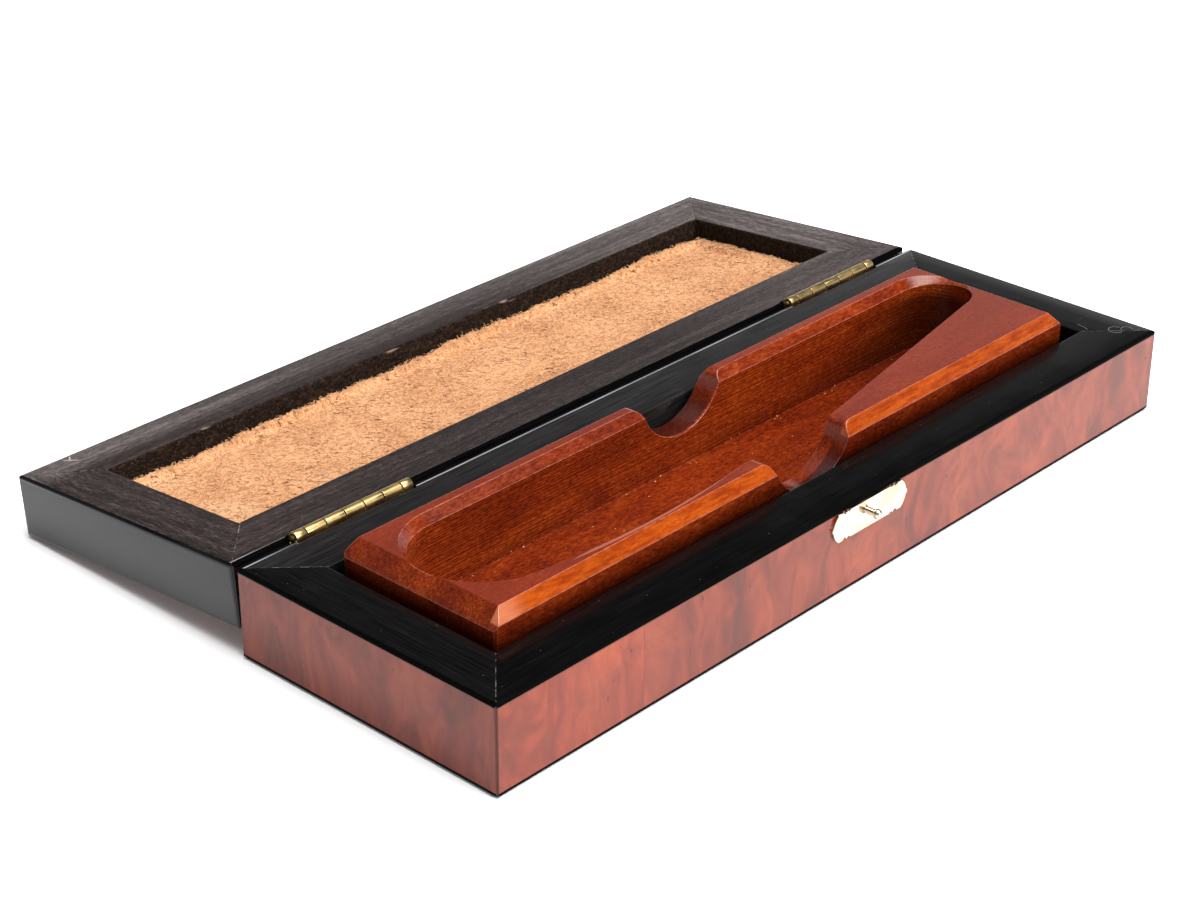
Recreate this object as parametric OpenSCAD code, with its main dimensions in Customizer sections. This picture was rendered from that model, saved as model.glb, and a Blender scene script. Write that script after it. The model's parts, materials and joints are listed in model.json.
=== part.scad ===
// Hinged hardwood box for one straight razor, lying open.
// The base has burl veneered sides and holds a carved cradle; the lid is lined with leather.
// Origin: centre of the base's underside. X runs along the front, Y from the front to the lid, Z up.

/* [Box] */
// Length of the base and of the lid
box_l = 200; // [150:0.5:260]
// Depth of the base and of the lid, front to hinge
box_w = 65.5; // [56:0.5:90]
// Clearance left between the two rims when the lid is shut
rim_gap = 0.1; // [0.05:0.05:0.3]
// Clearance between pieces that are fitted together
joint_gap = 0.03; // [0.01:0.01:0.1]

/* [Base] */
// Height from the table to the rim
base_h = 18.9; // [17:0.1:26]
// Width of the rim, outer wall and liner together
base_rim = 11.6; // [9:0.1:13]
// Thickness of the outer wall
base_wall = 5; // [3.5:0.1:6.5]
// Rounding of the rim's outer edge
base_edge_r = 0.8; // [0.2:0.1:1.2]
// Rounding of the rim's inner edge
base_inner_r = 0.35; // [0.2:0.05:0.8]
// Thickness of the burl veneer
veneer_t = 0.6; // [0.4:0.1:1]
// Height of the plain black lip above the side veneer
lip_h = 0.85; // [0.4:0.05:2]
// Height of the plain black lip below the side veneer
foot_lip_h = 0.5; // [0.3:0.1:2]
// Width of the black arris left at each upright corner
corner_arris = 0.4; // [0.2:0.1:1]
// Distance from the left end to the butt joint in the front veneer
veneer_joint_x = 36.5; // [20:0.5:70]
// Thickness of the bottom board
bottom_t = 3; // [2:0.1:4]
// Thickness of the felt under the base
felt_t = 0.5; // [0.3:0.1:1]
// Distance that the felt stops short of the outside
felt_inset = 0.4; // [0.2:0.1:2]

/* [Razor cradle] */
// Gap between the cradle and the base's front liner
cradle_gap_front = 2; // [1.2:0.1:3]
// Gap between the cradle and the base's back liner
cradle_gap_back = 1.6; // [1.2:0.1:3]
// Gap between the cradle and the base's left liner
cradle_gap_left = 2; // [1.5:0.1:8]
// Gap between the cradle and the base's right liner
cradle_gap_right = 4.1; // [1.5:0.1:8]
// Height of the cradle's top above the base's rim
cradle_rise = 5.4; // [4.5:0.1:5.4]
// Height of the bevels along the two long top edges
bevel_h_side = 2.4; // [1.5:0.1:3.2]
// Width of the bevel along the front
bevel_w_front = 2; // [0.8:0.1:2.5]
// Width of the bevel along the back
bevel_w_back = 1.5; // [0.8:0.1:2.4]
// Height of the bevels at the two ends
bevel_h_end = 3.4; // [1.5:0.1:4.4]
// Width of the bevels at the two ends
bevel_w_end = 2.8; // [1:0.1:3.4]
// Chamfer of the cradle's upright corners
cradle_corner = 0.5; // [0.3:0.1:1.2]
// Thickness left under the pocket
pocket_floor_t = 4.3; // [2.5:0.1:6]
// Thickness of the wall behind the pocket
pocket_back_wall = 5.3; // [4.6:0.1:5.8]
// Thinnest place of the wall in front of the pocket
pocket_front_wall = 3; // [2.8:0.1:3.4]
// Wall left past the pocket's wide left end
pocket_left_wall = 2.9; // [1.5:0.1:5]
// Wall left past the pocket's narrow right end
pocket_right_wall = 3; // [1.5:0.1:5]
// How much smaller the radius of the pocket's left end is than half of the pocket's width
pocket_left_ease = 1.1; // [0.8:0.1:3]
// Radius of the pocket's narrow right end
pocket_right_r = 7.9; // [6:0.1:9]
// Distance from the cradle's left end to the deepest place of the pocket's hollow front curve
pocket_sweep_x = 44.4; // [38:0.1:51]
// How far the pocket's front edge has come in at the right of the finger notch
pocket_taper_in = 3; // [2.5:0.1:4.5]
// Size of the bevel along the pocket's back edge
pocket_bevel = 1.8; // [1:0.1:2.2]
// Radius of the two finger notches
notch_r = 12; // [9:0.1:14]
// Depth of the finger notches below the cradle's top
notch_depth = 9.3; // [6:0.1:11]
// Rounding of the shoulders beside each finger notch
notch_shoulder_r = 2.4; // [1:0.1:3]

/* [Lid] */
// Height of the lid, from its rim to its outside face
lid_h = 13.6; // [12.5:0.1:16]
// Clearance between the long sides of the lid's rim and the cradle, with the lid shut
lid_side_clear = 0.3; // [0.2:0.1:2]
// Clearance between the ends of the lid's rim and the cradle, with the lid shut
lid_end_clear = 1.1; // [0.5:0.1:4]
// Thickness of the outer wall
lid_wall = 5.6; // [4:0.1:7]
// Rounding of the lid's outside edges
lid_edge_r = 1.5; // [0.8:0.1:2]
// Rounding of the rim's outer edge
lid_rim_r = 0.9; // [0.3:0.1:1.5]
// Rounding of the rim's inner edge
lid_inner_r = 0.4; // [0.2:0.1:0.8]
// Rounding of the lid's upright corners
lid_corner_r = 1; // [0.4:0.1:2]
// Thickness of the board under the outside veneer
lid_board_t = 3; // [2:0.1:3.5]
// Clearance between the leather and the cradle, with the lid shut
leather_clear = 0.2; // [0.1:0.05:0.8]
// Thickness of the leather
leather_t = 2.4; // [1.5:0.1:2.8]
// Gap round the leather
leather_gap = 0.5; // [0.3:0.1:1.5]
// Rounding of the leather's corners
leather_corner_r = 3; // [1:0.5:8]

/* [Hinges] */
// Gap between the two back faces
back_gap = 1.5; // [1.4:0.05:2]
// Length of each hinge
hinge_l = 29.4; // [24:0.2:40]
// Distance from the end of the box to each hinge
hinge_inset = 13.9; // [12:0.1:24]
// Length of the short knuckle at each end
end_knuckle_l = 2.7; // [2:0.1:4]
// Number of knuckles on a hinge
knuckle_count = 7; // [5:2:9]
// Gap between neighbouring knuckles
knuckle_gap = 0.25; // [0.1:0.05:0.35]
// Room in the wood round the knuckles
hinge_relief = 0.8; // [0.3:0.1:1.2]
// Outside diameter of the knuckles
barrel_d = 2.4; // [2.2:0.05:2.6]
// Diameter of the hinge pin
pin_d = 1.2; // [1:0.05:1.3]
// Radial play between the pin and the knuckles
pin_play = 0.05; // [0.03:0.01:0.08]
// Thickness of a leaf
leaf_t = 0.6; // [0.4:0.05:0.65]
// Height of a leaf below the pin
leaf_h = 8; // [6.5:0.1:8.5]
// Distance of a leaf's inner face from the hinge line
leaf_offset = 0.45; // [0.42:0.01:0.48]
// Diameter of a hinge nail
nail_d = 0.9; // [0.6:0.05:1]
// Length of a hinge nail
nail_l = 4.2; // [3:0.1:4.6]
// Diameter of a hinge nail's flat head
nail_head_d = 1.8; // [1.4:0.1:2]
// Thickness of a hinge nail's head
nail_head_t = 0.3; // [0.2:0.05:0.35]
// Distance from a leaf's end to its first nail
nail_margin = 4.3; // [3:0.1:6]

/* [Latch] */
// Length of a latch plate, ear to ear
plate_l = 22.3; // [20:0.1:26]
// Height of a latch plate
plate_h = 6; // [5:0.1:6.4]
// Thickness of a latch plate
plate_t = 0.5; // [0.3:0.05:0.7]
// Radius of a plate's rounded ear
plate_ear_r = 3.6; // [3.3:0.1:4.2]
// Radius of the round nicks beside the ears
plate_nick_r = 0.6; // [0.4:0.1:1]
// Distance from each of those nicks to the smaller nick inside it
plate_nick_step = 1.2; // [1:0.1:2]
// Distance of a plate's middle from the rim
plate_from_rim = 3.8; // [3.7:0.1:4.2]
// Radius of the small lobe at each end of a plate
plate_lobe_r = 0.7; // [0.4:0.1:1]
// Diameter of the two prongs behind a plate
prong_d = 0.7; // [0.5:0.05:0.9]
// Length of those prongs
prong_l = 3; // [2:0.1:4]
// Diameter of the catch stud's shank
stud_d = 1.4; // [0.8:0.05:1.5]
// Diameter of the catch stud's ball head
stud_head_d = 2; // [1.8:0.1:2.6]
// Distance of the ball's middle from the box
stud_reach = 2.15; // [2.1:0.05:2.6]
// Depth of the stud and the rivet in the wood
stud_sink = 4; // [2.5:0.1:4.4]
// Thickness of the hook
hook_t = 0.6; // [0.4:0.05:0.65]
// Width of the hook's arm
hook_w = 3.4; // [3:0.1:3.8]
// Radius of the hook's round ends
hook_end_r = 2.2; // [1.9:0.1:2.6]
// Clearance between the hook and what it slides on
hook_gap = 0.15; // [0.1:0.05:0.2]
// Clearance between the stud and the slot in the hook
slot_gap = 0.35; // [0.3:0.05:0.5]
// Diameter of the hook rivet's shank
rivet_d = 1.2; // [1:0.05:1.4]
// Diameter of the hook rivet's head
rivet_head_d = 2.8; // [2.2:0.1:3.2]
// Height of the hook rivet's head
rivet_head_h = 0.7; // [0.4:0.05:1]

/* [Hidden] */
$fn = 72;
// How far a cut runs past the face that it opens
past = 1;
// How far a straight edge dips inside the curve that it runs into
blend = 0.05;

BLACK = [0.06, 0.055, 0.06];
DARK_WOOD = [0.11, 0.085, 0.075];
BURL = [0.62, 0.33, 0.27];
CRADLE_RED = [0.50, 0.16, 0.06];
BRASS = [0.83, 0.68, 0.36];
LEATHER = [0.83, 0.62, 0.42];
FELT = [0.05, 0.05, 0.05];
BOARD = [0.35, 0.24, 0.16];

// Heights of the base
board_top = felt_t + bottom_t;
veneer_z0 = felt_t + foot_lip_h;
veneer_z1 = base_h - lip_h;
base_liner_w = base_rim - base_wall;

// Hinge line, and the tilt at which the open lid's far edge rests on the table
axis_y = box_w / 2 + back_gap / 2;
axis_z = base_h + rim_gap / 2;
edge_y = back_gap / 2 + box_w - lid_edge_r;
edge_z = lid_h + rim_gap / 2 - lid_edge_r;
tilt = asin((axis_z - lid_edge_r) / norm([edge_y, edge_z])) - atan2(edge_z, edge_y);

// Cradle
cradle_top = base_h + cradle_rise;
cradle_x0 = -box_l / 2 + base_rim + cradle_gap_left;
cradle_x1 = box_l / 2 - base_rim - cradle_gap_right;
cradle_y0 = -box_w / 2 + base_rim + cradle_gap_front;
cradle_y1 = box_w / 2 - base_rim - cradle_gap_back;
cradle_l = cradle_x1 - cradle_x0;
cradle_w = cradle_y1 - cradle_y0;
pocket_z = board_top + pocket_floor_t;
pocket_y1 = cradle_y1 - pocket_back_wall;
pocket_y0 = cradle_y0 + pocket_front_wall;
pocket_left_r = (pocket_y1 - pocket_y0) / 2 - pocket_left_ease;
// circle inside the left end; the front curve touches it, and is lowest at sweep_x
left_end = [cradle_x0 + pocket_left_wall + pocket_left_r, pocket_y1 - pocket_left_r];
right_end = [cradle_x1 - pocket_right_wall - pocket_right_r, pocket_y1 - pocket_right_r];
sweep_x = cradle_x0 + pocket_sweep_x;
sweep_run = sweep_x - left_end[0];
sweep_rise = left_end[1] - pocket_y0;
sweep_r = (pow(sweep_run, 2) + pow(sweep_rise, 2) - pow(pocket_left_r, 2))
    / (2 * (sweep_rise - pocket_left_r));
sweep_middle = [sweep_x, pocket_y0 + sweep_r];
notch_z = cradle_top - notch_depth + notch_r;
shoulder_z = cradle_top - notch_shoulder_r;
shoulder_x = sqrt(pow(notch_r + notch_shoulder_r, 2) - pow(notch_z - shoulder_z, 2));
taper_corner = [shoulder_x, pocket_y0 + pocket_taper_in];

// Lid: its opening goes round the cradle, and heights are measured down from its rim
lid_rim_side = base_rim + min(cradle_gap_front, cradle_gap_back) - lid_side_clear;
lid_rim_end = base_rim + min(cradle_gap_left, cradle_gap_right) - lid_end_clear;
lid_hole_l = box_l - 2 * lid_rim_end;
lid_hole_w = box_w - 2 * lid_rim_side;
lid_board_z = lid_h - veneer_t;
lid_floor_z = lid_board_z - lid_board_t;
padding_z = cradle_rise + leather_clear + leather_t;

// Hinges
hinge_x = box_l / 2 - hinge_inset - hinge_l / 2;
mid_knuckle_l = (hinge_l - 2 * end_knuckle_l) / (knuckle_count - 2);
barrel_r = barrel_d / 2;
relief_r = barrel_r + hinge_relief;
nail_pitch = hinge_l / 2 - nail_margin;
nail_z = -leaf_h * 0.62;

// Latch
ear_x = plate_l / 2 - plate_ear_r;
nick_x = ear_x + 0.2;
catch_z = base_h - plate_from_rim;
hook_reach = 2 * plate_from_rim + rim_gap;
slot_r = stud_d / 2 + slot_gap;
hook_y0 = plate_t + hook_gap;
hook_y1 = hook_y0 + hook_t;

// Side angles: a rail is drawn as the front one, then turned about the middle
FRONT = 0;
RIGHT = 90;
BACK = 180;
LEFT = 270;

// Placing

module on_side(angle, across)
    rotate([0, 0, angle]) translate([0, -across / 2, 0]) children();

// Lid frame: its own origin is the middle of the rim, with the rim facing up
module in_lid()
    translate([0, axis_y, axis_z])
        rotate([-tilt, 0, 0])
            translate([0, back_gap / 2 + box_w / 2, -rim_gap / 2])
                children();

// Hinge frame in the base and in the lid: origin on the pin, Y towards the lid
module at_hinge(side)
    translate([side * hinge_x, axis_y, axis_z]) children();

module at_lid_hinge(side)
    translate([side * hinge_x, axis_y, axis_z]) rotate([-tilt, 0, 0]) children();

module extrude_x(length)
    rotate([90, 0, 90]) linear_extrude(length, center = true) children();

module extrude_y(length)
    rotate([90, 0, 0]) linear_extrude(length, center = true) children();

module cylinder_x(radius, length)
    rotate([0, 90, 0]) cylinder(r = radius, h = length, center = true);

// Shapes shared by several pieces

// Section of a rail: outer face at 0, inner face at w, rim at the top
module rail_section(w, h, outer_r, inner_r, foot_r) {
    polygon(concat(
        foot_r > 0 ? [[0, foot_r], [foot_r, 0]] : [[0, 0]],
        [[w, 0]],
        inner_r > 0 ? [[w, h - inner_r], [w - inner_r, h]] : [[w, h]],
        outer_r > 0 ? [[outer_r, h], [0, h - outer_r]] : [[0, h]]
    ));
    if (outer_r > 0) translate([outer_r, h - outer_r]) circle(outer_r);
    if (inner_r > 0) translate([w - inner_r, h - inner_r]) circle(inner_r);
    if (foot_r > 0) translate([foot_r, foot_r]) circle(foot_r);
}

// Plan of a rail: mitred from its outer corners to its inner corners
module mitre_plan(length, w, w_end)
    polygon([[-length / 2, 0], [length / 2, 0], [length / 2 - w_end, w], [-length / 2 + w_end, w]]);

module rail(length, w, w_end, h, outer_r, inner_r, foot_r)
    intersection() {
        extrude_x(length) rail_section(w, h, outer_r, inner_r, foot_r);
        linear_extrude(h) mitre_plan(length, w, w_end);
    }

module rounded_plan(length, width, r) {
    square([length - 2 * r, width], center = true);
    square([length, width - 2 * r], center = true);
    for (x = [-1, 1], y = [-1, 1])
        translate([x * (length / 2 - r), y * (width / 2 - r)]) circle(r);
}

module dome(d, h) {
    r = (d * d / 4 + h * h) / (2 * h);
    intersection() {
        translate([0, 0, h - r]) sphere(r);
        cylinder(d = d, h = h);
    }
}

// Base

function base_across(angle) = angle == FRONT || angle == BACK ? box_w : box_l;
function base_along(angle) = angle == FRONT || angle == BACK ? box_l : box_w;

module side_veneer_block(angle, grow)
    on_side(angle, base_across(angle))
        translate([-base_along(angle) / 2 + corner_arris, -grow, veneer_z0])
            cube([base_along(angle) - 2 * corner_arris, veneer_t + grow, veneer_z1 - veneer_z0]);

// The veneer itself, mitred with its neighbours where it is thicker than the arris
module side_veneer(angle)
    intersection() {
        side_veneer_block(angle, 0);
        on_side(angle, base_across(angle))
            linear_extrude(base_h) mitre_plan(base_along(angle), base_wall, base_wall);
    }

module base_wall_rail(angle)
    difference() {
        intersection() {
            on_side(angle, base_across(angle))
                translate([0, 0, felt_t])
                    rail(base_along(angle), base_wall, base_wall, base_h - felt_t,
                        base_edge_r, 0, 0);
            linear_extrude(base_h) rounded_plan(box_l, box_w, corner_arris);
        }
        side_veneer_block(angle, past);
    }

module base_liner_rail(angle)
    on_side(angle, base_across(angle) - 2 * base_wall)
        translate([0, 0, board_top])
            rail(base_along(angle) - 2 * base_wall, base_liner_w, base_liner_w,
                base_h - board_top, 0, base_inner_r, 0);

// Room that the hinges take out of the base's back
module base_hinge_cut()
    for (side = [-1, 1]) at_hinge(side) {
        cylinder_x(relief_r, hinge_l + 2 * knuckle_gap);
        translate([-hinge_l / 2 - joint_gap, -leaf_offset - leaf_t, -leaf_h - joint_gap])
            cube([hinge_l + 2 * joint_gap, leaf_t, leaf_h + past]);
        nails(-1);
    }

module catch_holes()
    at_catch() {
        shank(stud_d);
        prongs();
    }

module base_front_wall() color(BLACK)
    difference() {
        base_wall_rail(FRONT);
        catch_holes();
    }

module base_back_wall() color(BLACK)
    difference() {
        base_wall_rail(BACK);
        base_hinge_cut();
    }

module base_left_wall() color(BLACK) base_wall_rail(LEFT);

module base_right_wall() color(BLACK) base_wall_rail(RIGHT);

module base_front_liner() color(BLACK) base_liner_rail(FRONT);

module base_back_liner() color(BLACK) base_liner_rail(BACK);

module base_left_liner() color(BLACK) base_liner_rail(LEFT);

module base_right_liner() color(BLACK) base_liner_rail(RIGHT);

module base_front_veneer(from_x, to_x)
    difference() {
        intersection() {
            side_veneer(FRONT);
            translate([from_x, -box_w, 0]) cube([to_x - from_x, box_w, base_h]);
        }
        catch_holes();
    }

module base_front_veneer_left() color(BURL)
    base_front_veneer(-box_l / 2, -box_l / 2 + veneer_joint_x);

module base_front_veneer_right() color(BURL)
    base_front_veneer(-box_l / 2 + veneer_joint_x, box_l / 2);

module base_back_veneer() color(BURL)
    difference() {
        side_veneer(BACK);
        base_hinge_cut();
    }

module base_left_veneer() color(BURL) side_veneer(LEFT);

module base_right_veneer() color(BURL) side_veneer(RIGHT);

module base_bottom_board() color(BOARD)
    translate([-box_l / 2 + base_wall, -box_w / 2 + base_wall, felt_t])
        cube([box_l - 2 * base_wall, box_w - 2 * base_wall, bottom_t]);

module base_felt() color(FELT)
    linear_extrude(felt_t)
        rounded_plan(box_l - 2 * felt_inset, box_w - 2 * felt_inset, corner_arris);

// Razor cradle

module cradle_block()
    translate([(cradle_x0 + cradle_x1) / 2, (cradle_y0 + cradle_y1) / 2, 0])
        intersection() {
            extrude_x(cradle_l)
                bevelled_section(cradle_w / 2, bevel_h_side, bevel_w_front, bevel_w_back);
            extrude_y(cradle_w)
                bevelled_section(cradle_l / 2, bevel_h_end, bevel_w_end, bevel_w_end);
            linear_extrude(cradle_top) cut_corners(cradle_l / 2, cradle_w / 2, cradle_corner);
        }

module cut_corners(x, y, c)
    polygon([
        [x, c - y], [x, y - c], [x - c, y], [c - x, y],
        [-x, y - c], [-x, c - y], [c - x, -y], [x - c, -y]
    ]);

// Section from -x to x, with a bevel of its own at each top corner
module bevelled_section(x, h, w_low, w_high)
    polygon([
        [-x, board_top], [x, board_top], [x, cradle_top - h], [x - w_high, cradle_top],
        [w_low - x, cradle_top], [-x, cradle_top - h]
    ]);

// Plan of the pocket: round ends, straight back, hollow front on the left, tapering to the right
module pocket_plan() {
    to_end = right_end - taper_corner;
    // both ends of the straight front lie just inside the curves that they run into, and cross them
    taper_r = pocket_right_r - blend;
    taper_angle = atan2(to_end[1], to_end[0]) - asin(taper_r / norm(to_end));
    taper_end = right_end + taper_r * [sin(taper_angle), -cos(taper_angle)];
    cross_x = -shoulder_x - 3;
    cross_y = sweep_middle[1] - sqrt(pow(sweep_r, 2) - pow(sweep_x - cross_x, 2)) + blend;
    touch = left_end + (left_end - sweep_middle) * (pocket_left_r + past) / (sweep_r - pocket_left_r);
    translate(left_end) circle(pocket_left_r);
    translate(right_end) circle(pocket_right_r);
    polygon([
        left_end, [cross_x, cross_y], taper_corner, taper_end, right_end,
        [right_end[0], pocket_y1], [left_end[0], pocket_y1]
    ]);
    intersection() {
        translate(sweep_middle) circle(sweep_r, $fn = 720);
        polygon([
            left_end, touch, [-shoulder_x, touch[1] - pocket_left_r], [-shoulder_x, left_end[1]]
        ]);
    }
}

// Bevel round a pocket's end: full at the back, nothing at the front
module end_bevel(end, r) {
    shift = pocket_bevel / 2 + 0.1;
    translate([end[0], end[1] + shift, cradle_top - pocket_bevel - past])
        cylinder(r1 = r - shift - past, r2 = r - shift + pocket_bevel + past, h = pocket_bevel + 2 * past);
}

module back_bevel()
    translate([(left_end[0] + right_end[0]) / 2, pocket_y1, cradle_top])
        extrude_x(right_end[0] - left_end[0])
            polygon([[-past, -pocket_bevel - past], [pocket_bevel + past, past], [-past, past]]);

// Finger notch seen from the front, with rounded shoulders
module notch_section() {
    translate([0, notch_z]) circle(notch_r);
    difference() {
        reach = shoulder_x * notch_r / (notch_r + notch_shoulder_r);
        base_z = notch_z + (shoulder_z - notch_z) * notch_r / (notch_r + notch_shoulder_r);
        polygon([
            [-shoulder_x, cradle_top], [-reach, base_z], [reach, base_z], [shoulder_x, cradle_top],
            [shoulder_x, cradle_top + past], [-shoulder_x, cradle_top + past]
        ]);
        for (side = [-1, 1])
            translate([side * shoulder_x, shoulder_z]) circle(notch_shoulder_r);
    }
}

module razor_cradle() color(CRADLE_RED)
    difference() {
        cradle_block();
        translate([0, 0, pocket_z]) linear_extrude(cradle_top - pocket_z + past) pocket_plan();
        end_bevel(left_end, pocket_left_r);
        end_bevel(right_end, pocket_right_r);
        back_bevel();
        extrude_y(box_w) notch_section();
    }

// Hinges

// Start of knuckle number i along the hinge
function knuckle_x(i) = -hinge_l / 2 + (i == 0 ? 0 : end_knuckle_l + (i - 1) * mid_knuckle_l);
function knuckle_len(i) = i == 0 || i == knuckle_count - 1 ? end_knuckle_l : mid_knuckle_l;

// A leaf hangs below the pin on the side that toward gives; it owns every other knuckle from first
module leaf(toward, first, play)
    difference() {
        union() {
            translate([-hinge_l / 2, toward > 0 ? leaf_offset : -leaf_offset - leaf_t, -leaf_h])
                cube([hinge_l, leaf_t, leaf_h - knuckle_gap]);
            for (i = [first : 2 : knuckle_count - 1])
                translate([knuckle_x(i) + knuckle_len(i) / 2, 0, 0])
                    cylinder_x(barrel_r, knuckle_len(i) - knuckle_gap);
        }
        cylinder_x(pin_d / 2 + play, hinge_l + 2 * past);
        for (i = [1 - first : 2 : knuckle_count - 1])
            translate([knuckle_x(i) + knuckle_len(i) / 2, 0, 0])
                cylinder_x(barrel_r + knuckle_gap, knuckle_len(i));
        nails(toward);
    }

// The three nails of a leaf, with their flat heads let in flush
module nails(toward)
    for (i = [-1 : 1])
        translate([i * nail_pitch, toward * leaf_offset, nail_z])
            rotate([-toward * 90, 0, 0]) {
                cylinder(d = nail_d, h = nail_l);
                cylinder(d = nail_head_d, h = nail_head_t);
            }

module hinge_pin()
    union() {
        cylinder_x(pin_d / 2, hinge_l);
        for (side = [-1, 1]) translate([side * hinge_l / 2, 0, 0]) sphere(pin_d / 2);
    }

module hinge_left_base_leaf() color(BRASS) at_hinge(-1) leaf(-1, 0, 0);

module hinge_right_base_leaf() color(BRASS) at_hinge(1) leaf(-1, 1, 0);

module hinge_left_lid_leaf() color(BRASS) at_lid_hinge(-1) leaf(1, 1, pin_play);

module hinge_right_lid_leaf() color(BRASS) at_lid_hinge(1) leaf(1, 0, pin_play);

module hinge_left_pin() color(BRASS) at_hinge(-1) hinge_pin();

module hinge_right_pin() color(BRASS) at_hinge(1) hinge_pin();

module base_hinge_nails() color(BRASS)
    for (side = [-1, 1]) at_hinge(side) nails(-1);

module lid_hinge_nails() color(BRASS)
    for (side = [-1, 1]) at_lid_hinge(side) nails(1);

// Latch: drawn flat, with Z pointing out of the box

module at_catch()
    translate([0, -box_w / 2, catch_z]) rotate([90, 0, 0]) children();

module on_lid_edge()
    translate([0, box_w / 2, -plate_from_rim]) rotate([-90, 0, 0]) children();

module shank(d) translate([0, 0, -stud_sink]) cylinder(d = d, h = stud_sink + past);

module prongs()
    for (side = [-1, 1]) translate([side * ear_x, 0, -prong_l]) cylinder(d = prong_d, h = prong_l);

module plate_outline() {
    difference() {
        union() {
            square([2 * ear_x, plate_h], center = true);
            for (side = [-1, 1])
                intersection() {
                    translate([side * ear_x, 0]) circle(plate_ear_r);
                    square([plate_l + past, plate_h], center = true);
                }
        }
        for (x = [-1, 1], y = [-1, 1]) {
            translate([x * nick_x, y * (plate_h / 2 + plate_nick_r / 4)]) circle(plate_nick_r);
            translate([x * (nick_x - plate_nick_step), y * (plate_h / 2 + plate_nick_r / 4)])
                circle(plate_nick_r * 0.8);
        }
    }
    for (side = [-1, 1])
        translate([side * (plate_l / 2 - plate_lobe_r / 2), 0]) circle(plate_lobe_r);
}

module latch_plate(middle_d) {
    difference() {
        linear_extrude(plate_t) plate_outline();
        shank(middle_d);
    }
    prongs();
}

module catch_plate() color(BRASS) at_catch() latch_plate(stud_d);

module catch_stud() color(BRASS)
    at_catch() {
        translate([0, 0, -stud_sink]) cylinder(d = stud_d, h = stud_sink + stud_reach);
        translate([0, 0, stud_reach]) sphere(d = stud_head_d);
    }

module hook_plate() color(BRASS) in_lid() on_lid_edge() latch_plate(rivet_d);

module hook_rivet() color(BRASS)
    in_lid() on_lid_edge() {
        translate([0, 0, -stud_sink])
            cylinder(d = rivet_d, h = stud_sink + hook_y1 + hook_gap + rivet_head_h / 2);
        translate([0, 0, hook_y1 + hook_gap]) dome(rivet_head_d, rivet_head_h);
    }

// Arm along X from the rivet, with a slot curved about the rivet and open on its leading side
module hook_outline()
    difference() {
        union() {
            circle(hook_end_r);
            translate([0, -hook_w / 2]) square([hook_reach, hook_w]);
            translate([hook_reach, 0]) circle(hook_end_r);
        }
        circle(d = rivet_d + 2 * pin_play);
        translate([hook_reach, 0]) circle(slot_r);
        intersection() {
            difference() {
                circle(hook_reach + slot_r);
                circle(hook_reach - slot_r);
            }
            translate([0, -hook_reach]) square([2 * hook_reach, hook_reach]);
        }
    }

module latch_hook() color(BRASS)
    in_lid() on_lid_edge() translate([0, 0, hook_y0]) linear_extrude(hook_t) hook_outline();

// Lid: every rail is drawn in the lid's own frame, hanging down from the rim

module lid_rail(angle, inset, w_side, w_end, h, outer_r, inner_r, foot_r) {
    long = angle == FRONT || angle == BACK;
    length = (long ? box_l : box_w) - 2 * inset;
    across = (long ? box_w : box_l) - 2 * inset;
    on_side(angle, across)
        translate([0, 0, -h])
            rail(length, long ? w_side : w_end, long ? w_end : w_side, h, outer_r, inner_r, foot_r);
}

module lid_wall_rail(angle)
    intersection() {
        lid_rail(angle, 0, lid_wall, lid_wall, lid_h, lid_rim_r, 0, lid_edge_r);
        translate([0, 0, -lid_board_z])
            linear_extrude(lid_board_z) rounded_plan(box_l, box_w, lid_corner_r);
    }

module lid_liner_rail(angle)
    lid_rail(angle, lid_wall, lid_rim_side - lid_wall, lid_rim_end - lid_wall,
        lid_floor_z, 0, lid_inner_r, 0);

// Room that the hinges take out of the lid's back, in the lid's own frame
module lid_hinge_cut()
    for (side = [-1, 1])
        translate([side * hinge_x, -box_w / 2 - back_gap / 2, rim_gap / 2]) {
            cylinder_x(relief_r, hinge_l + 2 * knuckle_gap);
            translate([-hinge_l / 2 - joint_gap, leaf_offset, -leaf_h - joint_gap])
                cube([hinge_l + 2 * joint_gap, leaf_t, leaf_h + past]);
            nails(1);
        }

module hook_holes()
    on_lid_edge() {
        shank(rivet_d);
        prongs();
    }

// The lid's free edge is at its back in the open pose
module lid_front_wall() color(BLACK)
    in_lid() difference() {
        lid_wall_rail(BACK);
        hook_holes();
    }

module lid_back_wall() color(BLACK)
    in_lid() difference() {
        lid_wall_rail(FRONT);
        lid_hinge_cut();
    }

module lid_left_wall() color(BLACK) in_lid() lid_wall_rail(LEFT);

module lid_right_wall() color(BLACK) in_lid() lid_wall_rail(RIGHT);

module lid_front_liner() color(DARK_WOOD) in_lid() lid_liner_rail(BACK);

module lid_back_liner() color(DARK_WOOD) in_lid() lid_liner_rail(FRONT);

module lid_left_liner() color(DARK_WOOD) in_lid() lid_liner_rail(LEFT);

module lid_right_liner() color(DARK_WOOD) in_lid() lid_liner_rail(RIGHT);

module lid_top_board() color(BOARD)
    in_lid() translate([-box_l / 2 + lid_wall, -box_w / 2 + lid_wall, -lid_board_z])
        cube([box_l - 2 * lid_wall, box_w - 2 * lid_wall, lid_board_t]);

module lid_top_veneer() color(BURL)
    in_lid() translate([0, 0, -lid_h])
        intersection() {
            extrude_x(box_l) rounded_foot(box_w);
            extrude_y(box_w) rounded_foot(box_l);
            linear_extrude(veneer_t) rounded_plan(box_l, box_w, lid_corner_r);
        }

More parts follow.
